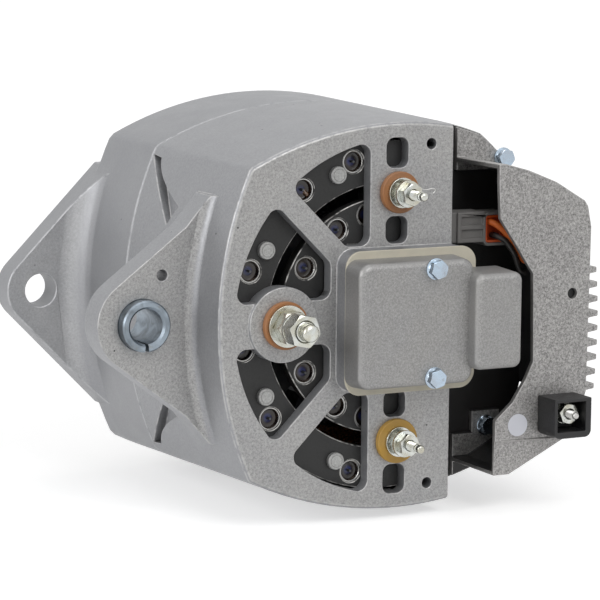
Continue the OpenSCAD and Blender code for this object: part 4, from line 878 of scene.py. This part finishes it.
class ALTERNATOR_OT_nuts(Operator):
    """Makes the nuts with their chamfers"""
    bl_idname = "alternator.nuts"
    bl_label = "Nuts"

    def execute(self, context):
        self.nuts("output_nuts", 14.3 * MM, 4.75 * MM, (0, math.radians(-12)))
        self.nuts("terminal_nuts", 9.5 * MM, 2.4 * MM, (0, math.radians(-20)))
        self.nuts("outer_plate_nuts", 8.0 * MM, 2.25 * MM, (0,))
        return {"FINISHED"}

    def nuts(self, node, across, bore, turns):
        """Stands chamfered nuts in the place of a node's solids."""
        bm = bmesh.new()
        for low, high in solids_of(node):
            x, z = centre(low, high)
            turned_nut = min(high.x - low.x, high.z - low.z) > across * 1.01
            turned = turns[-1] if turned_nut else turns[0]
            hexagon(bm, x, z, low.y, high.y, across, bore, turned)
        stand_for(bm, node)


class ALTERNATOR_OT_washers(Operator):
    """Rounds the washers and insulators"""
    bl_idname = "alternator.washers"
    bl_label = "Washers and Insulators"

    def execute(self, context):
        for node in ("output_washers", "terminal_washers"):
            dress(node, 0.25 * MM, 2)
        for node in ("output_insulator", "upper_terminal_insulator", "lower_terminal_insulator"):
            dress(node, 0.5 * MM, 3)
        return {"FINISHED"}


class ALTERNATOR_OT_screws(Operator):
    """Makes the flanged screws of the cover and the regulator"""
    bl_idname = "alternator.screws"
    bl_label = "Flange Screws"

    def execute(self, context):
        for node, turn in (("cover_screws", 0.3), ("flange_screws", 0.9)):
            bm = bmesh.new()
            for low, high in solids_of(node):
                x, z = centre(low, high)
                self.screw(bm, x, z, low.y, high.y, turn)
            stand_for(bm, node)
        return {"FINISHED"}

    def screw(self, bm, x, z, top, tip, turn):
        """A hexagon head on a dished flange, with a plain shank."""
        seat = top + 4.6 * MM
        shank = 2.1 * MM
        hexagon(bm, x, z, top, seat - 0.9 * MM, 8 * MM, 0, turn, both_ends=False)
        lathe(bm, x, z, outline(seat, ((0, -2.2), (3.6, -2.2), (4.6, -1), (5.1, -0.6), (5.1, -0.1), (4.9, 0)))
              + [(shank, seat), (shank, tip - 0.5 * MM), (shank - 0.5 * MM, tip), (0, tip)])


class ALTERNATOR_OT_studs(Operator):
    """Makes the threaded studs of the terminals"""
    bl_idname = "alternator.studs"
    bl_label = "Studs"

    def execute(self, context):
        hardware = context.scene.alternator_hardware
        self.terminal_studs(hardware.thread_pitch)
        self.output_stud(hardware.output_pitch)
        self.block_stud(hardware.thread_pitch)
        return {"FINISHED"}

    def terminal_studs(self, pitch):
        """Two studs with a necked, rounded tip."""
        bm = bmesh.new()
        for low, high in solids_of("terminal_studs"):
            x, z = centre(low, high)
            neck = low.y + 4 * MM
            head = high.y - 3.5 * MM
            threaded_rod(bm, x, z, neck, head, 2.4 * MM, pitch)
            hexagon(bm, x, z, head, high.y, 9.5 * MM, 0)
            lathe(bm, x, z, outline(low.y, ((0, 0), (1.2, 0.1), (1.8, 0.5), (2, 1.1), (2, 2.6), (1.5, 3)))
                  + outline(neck, ((1.5, -0.4), (2, 0.1), (0, 0.1))))
        stand_for(bm, "terminal_studs")

    def output_stud(self, pitch):
        """The thick stud with its domed end."""
        low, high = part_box("output_stud")
        x, z = centre(low, high)
        head = high.y - 5.5 * MM
        dome = low.y + 6.0 * MM
        bm = bmesh.new()
        threaded_rod(bm, x, z, dome, head, 4.75 * MM, pitch)
        hexagon(bm, x, z, head, high.y, 14.3 * MM, 0)
        lathe(bm, x, z, outline(low.y, ((0, 0), (2.2, 0.12), (3.4, 0.5), (4, 1.2), (4.25, 2.2)))
              + outline(dome, ((4.3, -0.4), (4, 0.1), (0, 0.1))))
        stand_for(bm, "output_stud")

    def block_stud(self, pitch):
        """The regulator terminal's stud, nut and washer."""
        low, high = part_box("shroud_stud")
        x, z = centre(low, high)
        head = high.y - 3.4 * MM
        bm = bmesh.new()
        threaded_rod(bm, x, z, low.y + 1.0 * MM, head, 2.1 * MM, pitch)
        lathe(bm, x, z, outline(low.y, ((0, 0), (1.3, 0), (1.8, 0.6), (1.8, 1.1), (0, 1.1))))
        hexagon(bm, x, z, head, high.y, 9 * MM, 0)
        stand_for(bm, "shroud_stud")
        low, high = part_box("shroud_nut")
        seat = high.y - 3 * MM
        bm = bmesh.new()
        hexagon(bm, x, z, low.y, seat, 9.5 * MM, 2.4 * MM, math.radians(-10))
        lathe(bm, x, z, outline(seat, ((2.45, 0), (5.4, 0), (5.6, 0.2)))
              + outline(high.y, ((5.6, -0.2), (5.4, 0), (2.45, 0))), closed=True)
        stand_for(bm, "shroud_nut")


class ALTERNATOR_OT_rectifier(Operator):
    """Rounds the rectifier plates and makes the potted diodes"""
    bl_idname = "alternator.rectifier"
    bl_label = "Rectifier"

    def execute(self, context):
        for node in ("outer_rectifier_plate", "inner_rectifier_plate"):
            dress(node, 0.5 * MM, 2)
        for node in ("outer_diodes", "inner_diodes"):
            self.diodes(node)
        self.plate_bolts()
        return {"FINISHED"}

    def diodes(self, node):
        """Pressed cups with a thin rim and a bronze inner wall, dished resin and a dark pin."""
        cups, walls, pins, resin = (bmesh.new() for _ in range(4))
        places = []
        for low, high in solids_of(node):
            x, z = centre(low, high)
            places.append(Vector((x, 0, z)))
            wide = (high.x - low.x) / 2
            edge = wide / MM
            rim = high.y - 8.4 * MM
            lip = ((edge - 0.8, 0.3), (edge - 0.55, 0), (edge - 0.2, 0), (edge, 0.2))
            lathe(cups, x, z, outline(rim, lip) + outline(high.y, ((edge, -0.4), (edge - 0.4, 0), (0, 0))))
            taper = ((edge - 0.72, 0.25), (edge - 1.15, 1.2), (edge - 1.3, 3.4), (edge - 0.72, 3.4))
            lathe(walls, x, z, outline(rim, taper), closed=True)
            dish = ((0, 2.4), (1, 2.42), (2.1, 2.6), (3.2, 2.9), (edge - 1.2, 2.5), (edge - 1.2, 3.3),
                    (0, 3.3))
            lathe(resin, x, z, outline(rim, dish))
            lathe(pins, x, z, outline(low.y, ((0, 0), (0.55, 0), (0.7, 0.2)))
                  + outline(rim, ((0.7, 3), (0, 3))), 16)
        from_middle = resin.verts.layers.float.new(FROM_MIDDLE)
        for vert in resin.verts:
            flat = Vector((vert.co.x, 0, vert.co.z))
            vert[from_middle] = min((flat - place).length for place in places)
        body = body_of(node)
        finish_piece(cups, node + "_cups", "steel", body)
        finish_piece(walls, node + "_walls", "steel", body, finish="bronze_cup")
        finish_piece(pins, node + "_pins", "pole_steel", body)
        finish_piece(resin, node + "_resin", "diode_blue", body, [node])

    def plate_bolts(self):
        """Flat heads with a peened ring, on plain shanks."""
        bm = bmesh.new()
        for low, high in solids_of("outer_plate_bolts"):
            x, z = centre(low, high)
            head = (high.x - low.x) / 2 / MM
            face = ((0, 0), (2.7, 0), (2.85, 0.3), (3.1, 0.3), (3.25, 0), (head - 0.3, 0), (head, 0.3))
            lathe(bm, x, z, outline(low.y, face + ((head, 2.4), (2.25, 2.4)))
                  + outline(high.y, ((2.25, -0.4), (1.85, 0), (0, 0))))
        stand_for(bm, "outer_plate_bolts", finish="bolt_face")


class ALTERNATOR_OT_window_leads(Operator):
    """Shows the varnished stator leads at the corners of the windows"""
    bl_idname = "alternator.window_leads"
    bl_label = "Stator Leads"

    def execute(self, context):
        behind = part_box("outer_rectifier_plate")[0].y + 3 * MM
        loops = (
            ((-47, 64.5), (-44, 62), (-41, 58.5), (-38, 54), (-36.5, 50.5)),
            ((-81, 24), (-77.5, 21.5), (-74, 19), (-69.5, 16.5), (-65, 14.5)),
            ((-47.5, -52), (-47, -55), (-45.5, -59), (-43.5, -63), (-42, -66)),
        )
        bm = bmesh.new()
        for loop in loops:
            sag = [abs(index - 2) * 1.6 * MM for index in range(len(loop))]
            wire(bm, [(x * MM, behind + drop, z * MM) for (x, z), drop in zip(loop, sag)], 1.3 * MM)
        finish_piece(bm, "stator_leads", "enamel_copper", body_of("stator_windings"), finish="clear_varnish")
        return {"FINISHED"}


class ALTERNATOR_OT_connector(Operator):
    """Dresses the plug, its seal, the leads and the terminal shroud"""
    bl_idname = "alternator.connector"
    bl_label = "Connector and Shroud"

    def execute(self, context):
        dress("connector_plug", 0.6 * MM)
        dress("connector_seal", 0.4 * MM)
        dress("terminal_shroud", 0.5 * MM)
        self.leads()
        self.terminal_clip()
        return {"FINISHED"}

    def leads(self):
        """The orange and the dark lead, from the seal to the module behind the plate."""
        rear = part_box("cover_gasket")[1].y + 10 * MM
        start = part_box("connector_seal")[1].y - 1.5 * MM
        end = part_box("regulator_module")[0].x
        upper = ((55, 5, 43.4), (55.8, 2.6, 42.9), (58, 0.6, 41.4), (61, -0.4, 38.8), (64.5, -0.6, 35.6),
                 (67.5, -0.4, 32.4), (70, 0.2, 29), (72, 0.8, 26), (73.4, 1, 23.8))
        lower = ((58.5, 5, 36.2), (59, 2.8, 36), (60, 0.8, 35.2), (61.6, -0.4, 33.8), (64.4, -0.6, 30.6),
                 (67.3, 0.2, 27), (69.7, 1.6, 23.2), (71.7, 2.8, 19.9), (73.3, 3.2, 18))
        leads = (
            ("orange_lead", upper, 1.6, "lead_orange", ["signal_leads"]),
            ("dark_lead", lower, 1.4, "lead_black", []),
        )
        body = body_of("signal_leads")
        for name, route, radius, finish, stood in leads:
            points = [(x * MM, rear + depth * MM, z * MM) for x, depth, z in route]
            points.insert(0, (points[0][0], start, points[0][2]))
            points.append((end, points[-1][1], points[-1][2] - 1.0 * MM))
            bm = bmesh.new()
            wire(bm, points, radius * MM)
            finish_piece(bm, name, "lead_orange", body, stood, finish=finish)

    def terminal_clip(self):
        """The spring wire that is caught under the upper terminal's nut."""
        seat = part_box("terminal_washers")[0].y
        x, z, radius = 2, 60.1, 0.3 * MM
        bend = ((-4.4, 2.5), (0, 5.2), (4.6, 3.4), (8.4, 1.7), (13, 2.1), (14.3, 1.2), (13.2, -0.1))
        bm = bmesh.new()
        wire(bm, [((x + right) * MM, seat + radius, (z + up) * MM) for right, up in bend], radius)
        finish_piece(bm, "terminal_clip", "steel", body_of("terminal_washers"))


class ALTERNATOR_OT_drive_end(Operator):
    """Rounds the fan and its spacer, and turns the shaft with its thread"""
    bl_idname = "alternator.drive_end"
    bl_label = "Fan and Shaft"

    def execute(self, context):
        dress("fan", 0.4 * MM, 2)
        dress("fan_spacer", 0.6 * MM, 2)
        self.shaft(context.scene.alternator_hardware.shaft_pitch)
        return {"FINISHED"}

    def shaft(self, pitch):
        """The stepped shaft, with its thread cut on the drive end."""
        low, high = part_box("rotor_shaft")
        seat_end = high.y - 22 * MM
        front_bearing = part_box("front_bearing_inner_ring")
        rear_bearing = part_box("rear_bearing_inner_ring")
        root = 9.5 * MM - 0.55 * pitch
        tip = high.y - 1.5 * MM
        bm = bmesh.new()
        lathe(bm, 0, 0, [
            (0, low.y), (6.6 * MM, low.y), (7 * MM, low.y + 0.4 * MM), (7 * MM, rear_bearing[0].y),
            (8.5 * MM, rear_bearing[0].y), (8.5 * MM, rear_bearing[1].y), (15 * MM, rear_bearing[1].y),
            (15 * MM, front_bearing[0].y), (12.5 * MM, front_bearing[0].y), (12.5 * MM, front_bearing[1].y),
            (11.7 * MM, front_bearing[1].y), (11.7 * MM, 0), (11.1 * MM, 0), (11.1 * MM, seat_end - 0.5 * MM),
            (10.6 * MM, seat_end), (root, seat_end), (0, seat_end)])
        threaded_rod(bm, 0, 0, seat_end, tip, 9.5 * MM, pitch, 32)
        lathe(bm, 0, 0, [(0, tip - 0.2 * MM), (root, tip - 0.2 * MM), (root, tip + 0.3 * MM),
                         (7.6 * MM, high.y), (0, high.y)])
        stand_for(bm, "rotor_shaft")


class ALTERNATOR_OT_studio(Operator):
    """Adds the camera, the light, the floor and the background"""
    bl_idname = "alternator.studio"
    bl_label = "Studio"

    def execute(self, context):
        scene = context.scene
        studio = scene.alternator_studio
        scene.view_settings.view_transform = "Standard"
        self.camera(scene, studio)
        self.light("Key softbox", (0.15, -1.9, 1.5), 1.3, studio.key_power)
        self.light("Fill softbox", (-1.8, -0.5, 0.7), 1.1, studio.fill_power)
        self.light("Top softbox", (0.1, 0.1, 1.9), 1.4, studio.top_power)
        self.floor()
        self.world(scene)
        return {"FINISHED"}

    def camera(self, scene, studio):
        """The photograph's viewpoint."""
        data = bpy.data.cameras.new("Camera")
        data.lens = studio.focal_length
        data.sensor_width = 36
        data.clip_start = 0.01
        data.clip_end = 50
        camera = bpy.data.objects.new("Camera", data)
        scene.collection.objects.link(camera)
        turn = Vector(studio.camera_aim).to_track_quat("-Z", "Y").to_matrix().to_4x4()
        roll = Matrix.Rotation(studio.camera_roll, 4, "Z")
        camera.matrix_world = Matrix.Translation(studio.camera_place) @ turn @ roll
        scene.camera = camera

    def light(self, name, place, size, power):
        """A square softbox aimed at the part."""
        data = bpy.data.lights.new(name, "AREA")
        data.shape = "SQUARE"
        data.size = size
        data.energy = power
        lamp = bpy.data.objects.new(name, data)
        bpy.context.scene.collection.objects.link(lamp)
        low, high = (Vector(corner) for corner in CAD_BOX)
        aim = (low + high) / 2 - Vector(place)
        turn = aim.to_track_quat("-Z", "Y").to_matrix().to_4x4()
        lamp.matrix_world = Matrix.Translation(place) @ turn

    def floor(self):
        """A wide pale floor under the part."""
        bm = bmesh.new()
        level = CAD_BOX[0][2] - 0.3 * MM
        bmesh.ops.create_circle(bm, cap_ends=True, segments=96, radius=9)
        bmesh.ops.translate(bm, verts=bm.verts, vec=(0, 0, level))
        mesh = bpy.data.meshes.new("Floor")
        bm.to_mesh(mesh)
        bm.free()
        floor = bpy.data.objects.new("Floor", mesh)
        bpy.context.scene.collection.objects.link(floor)
        material, tree, shader = new_material("Pale floor")
        place = add(tree, "ShaderNodeTexCoord").outputs["Object"]
        reach = add(tree, "ShaderNodeVectorMath", {0: place}, operation="LENGTH").outputs["Value"]
        far = ramp(tree, reach, 0.35, 1.0)
        connect(tree, shader["Base Color"], blend(tree, far, (0.8, 0.8, 0.8, 1.0), BLACK))
        shader["Roughness"].default_value = 0.9
        path = add(tree, "ShaderNodeLightPath").outputs
        seen = maths(tree, "ADD", path["Is Camera Ray"], path["Is Glossy Ray"], clamp=True)
        seen = maths(tree, "ADD", seen, path["Is Transmission Ray"], clamp=True)
        shader["Emission Color"].default_value = WHITE
        strength = maths(tree, "MULTIPLY", seen, ramp(tree, far, 0, 1, 0.5, 1.0))
        connect(tree, shader["Emission Strength"], strength)
        mesh.materials.append(material)

    def world(self, scene):
        """White behind the part, and an even light around it."""
        world = bpy.data.worlds.new("Studio")
        world.use_nodes = True
        tree = world.node_tree
        background = tree.nodes["Background"]
        path = add(tree, "ShaderNodeLightPath").outputs
        seen = maths(tree, "ADD", path["Is Camera Ray"], path["Is Glossy Ray"], clamp=True)
        seen = maths(tree, "ADD", seen, path["Is Transmission Ray"], clamp=True)
        connect(tree, background.inputs["Strength"], ramp(tree, seen, 0, 1, 0.35, 1.0))
        background.inputs["Color"].default_value = WHITE
        scene.world = world


class ALTERNATOR_PT_panel(Panel):
    """Lists the dressing steps"""
    bl_idname = "ALTERNATOR_PT_panel"
    bl_label = "Alternator"
    bl_space_type = "VIEW_3D"
    bl_region_type = "UI"
    bl_category = "Alternator"

    def draw(self, context):
        for step in STEPS:
            self.layout.operator(step.bl_idname)
        for settings in SETTINGS:
            box = self.layout.box()
            box.label(text=SETTINGS[settings].__doc__)
            for name in SETTINGS[settings].__annotations__:
                box.prop(getattr(context.scene, settings), name)


SETTINGS = {
    "alternator_castings": CastingSettings,
    "alternator_hardware": HardwareSettings,
    "alternator_electrics": ElectricSettings,
    "alternator_studio": StudioSettings,
}
STEPS = (
    ALTERNATOR_OT_finishes, ALTERNATOR_OT_studio, ALTERNATOR_OT_castings, ALTERNATOR_OT_cover,
    ALTERNATOR_OT_regulator, ALTERNATOR_OT_hinge, ALTERNATOR_OT_nuts, ALTERNATOR_OT_washers,
    ALTERNATOR_OT_screws, ALTERNATOR_OT_studs, ALTERNATOR_OT_rectifier, ALTERNATOR_OT_window_leads,
    ALTERNATOR_OT_connector, ALTERNATOR_OT_drive_end,
)


def register():
    """Registers the settings, the steps and the panel."""
    for name, settings in SETTINGS.items():
        bpy.utils.register_class(settings)
        setattr(bpy.types.Scene, name, PointerProperty(type=settings))
    for step in STEPS:
        bpy.utils.register_class(step)
    bpy.utils.register_class(ALTERNATOR_PT_panel)


def unregister():
    """Takes the add-on out again."""
    bpy.utils.unregister_class(ALTERNATOR_PT_panel)
    for step in reversed(STEPS):
        bpy.utils.unregister_class(step)
    for name, settings in SETTINGS.items():
        delattr(bpy.types.Scene, name)
        bpy.utils.unregister_class(settings)


def main():
    """Runs every step in order."""
    register()
    for step in STEPS:
        group, name = step.bl_idname.split(".")
        getattr(getattr(bpy.ops, group), name)()


if __name__ == "__main__":
    main()
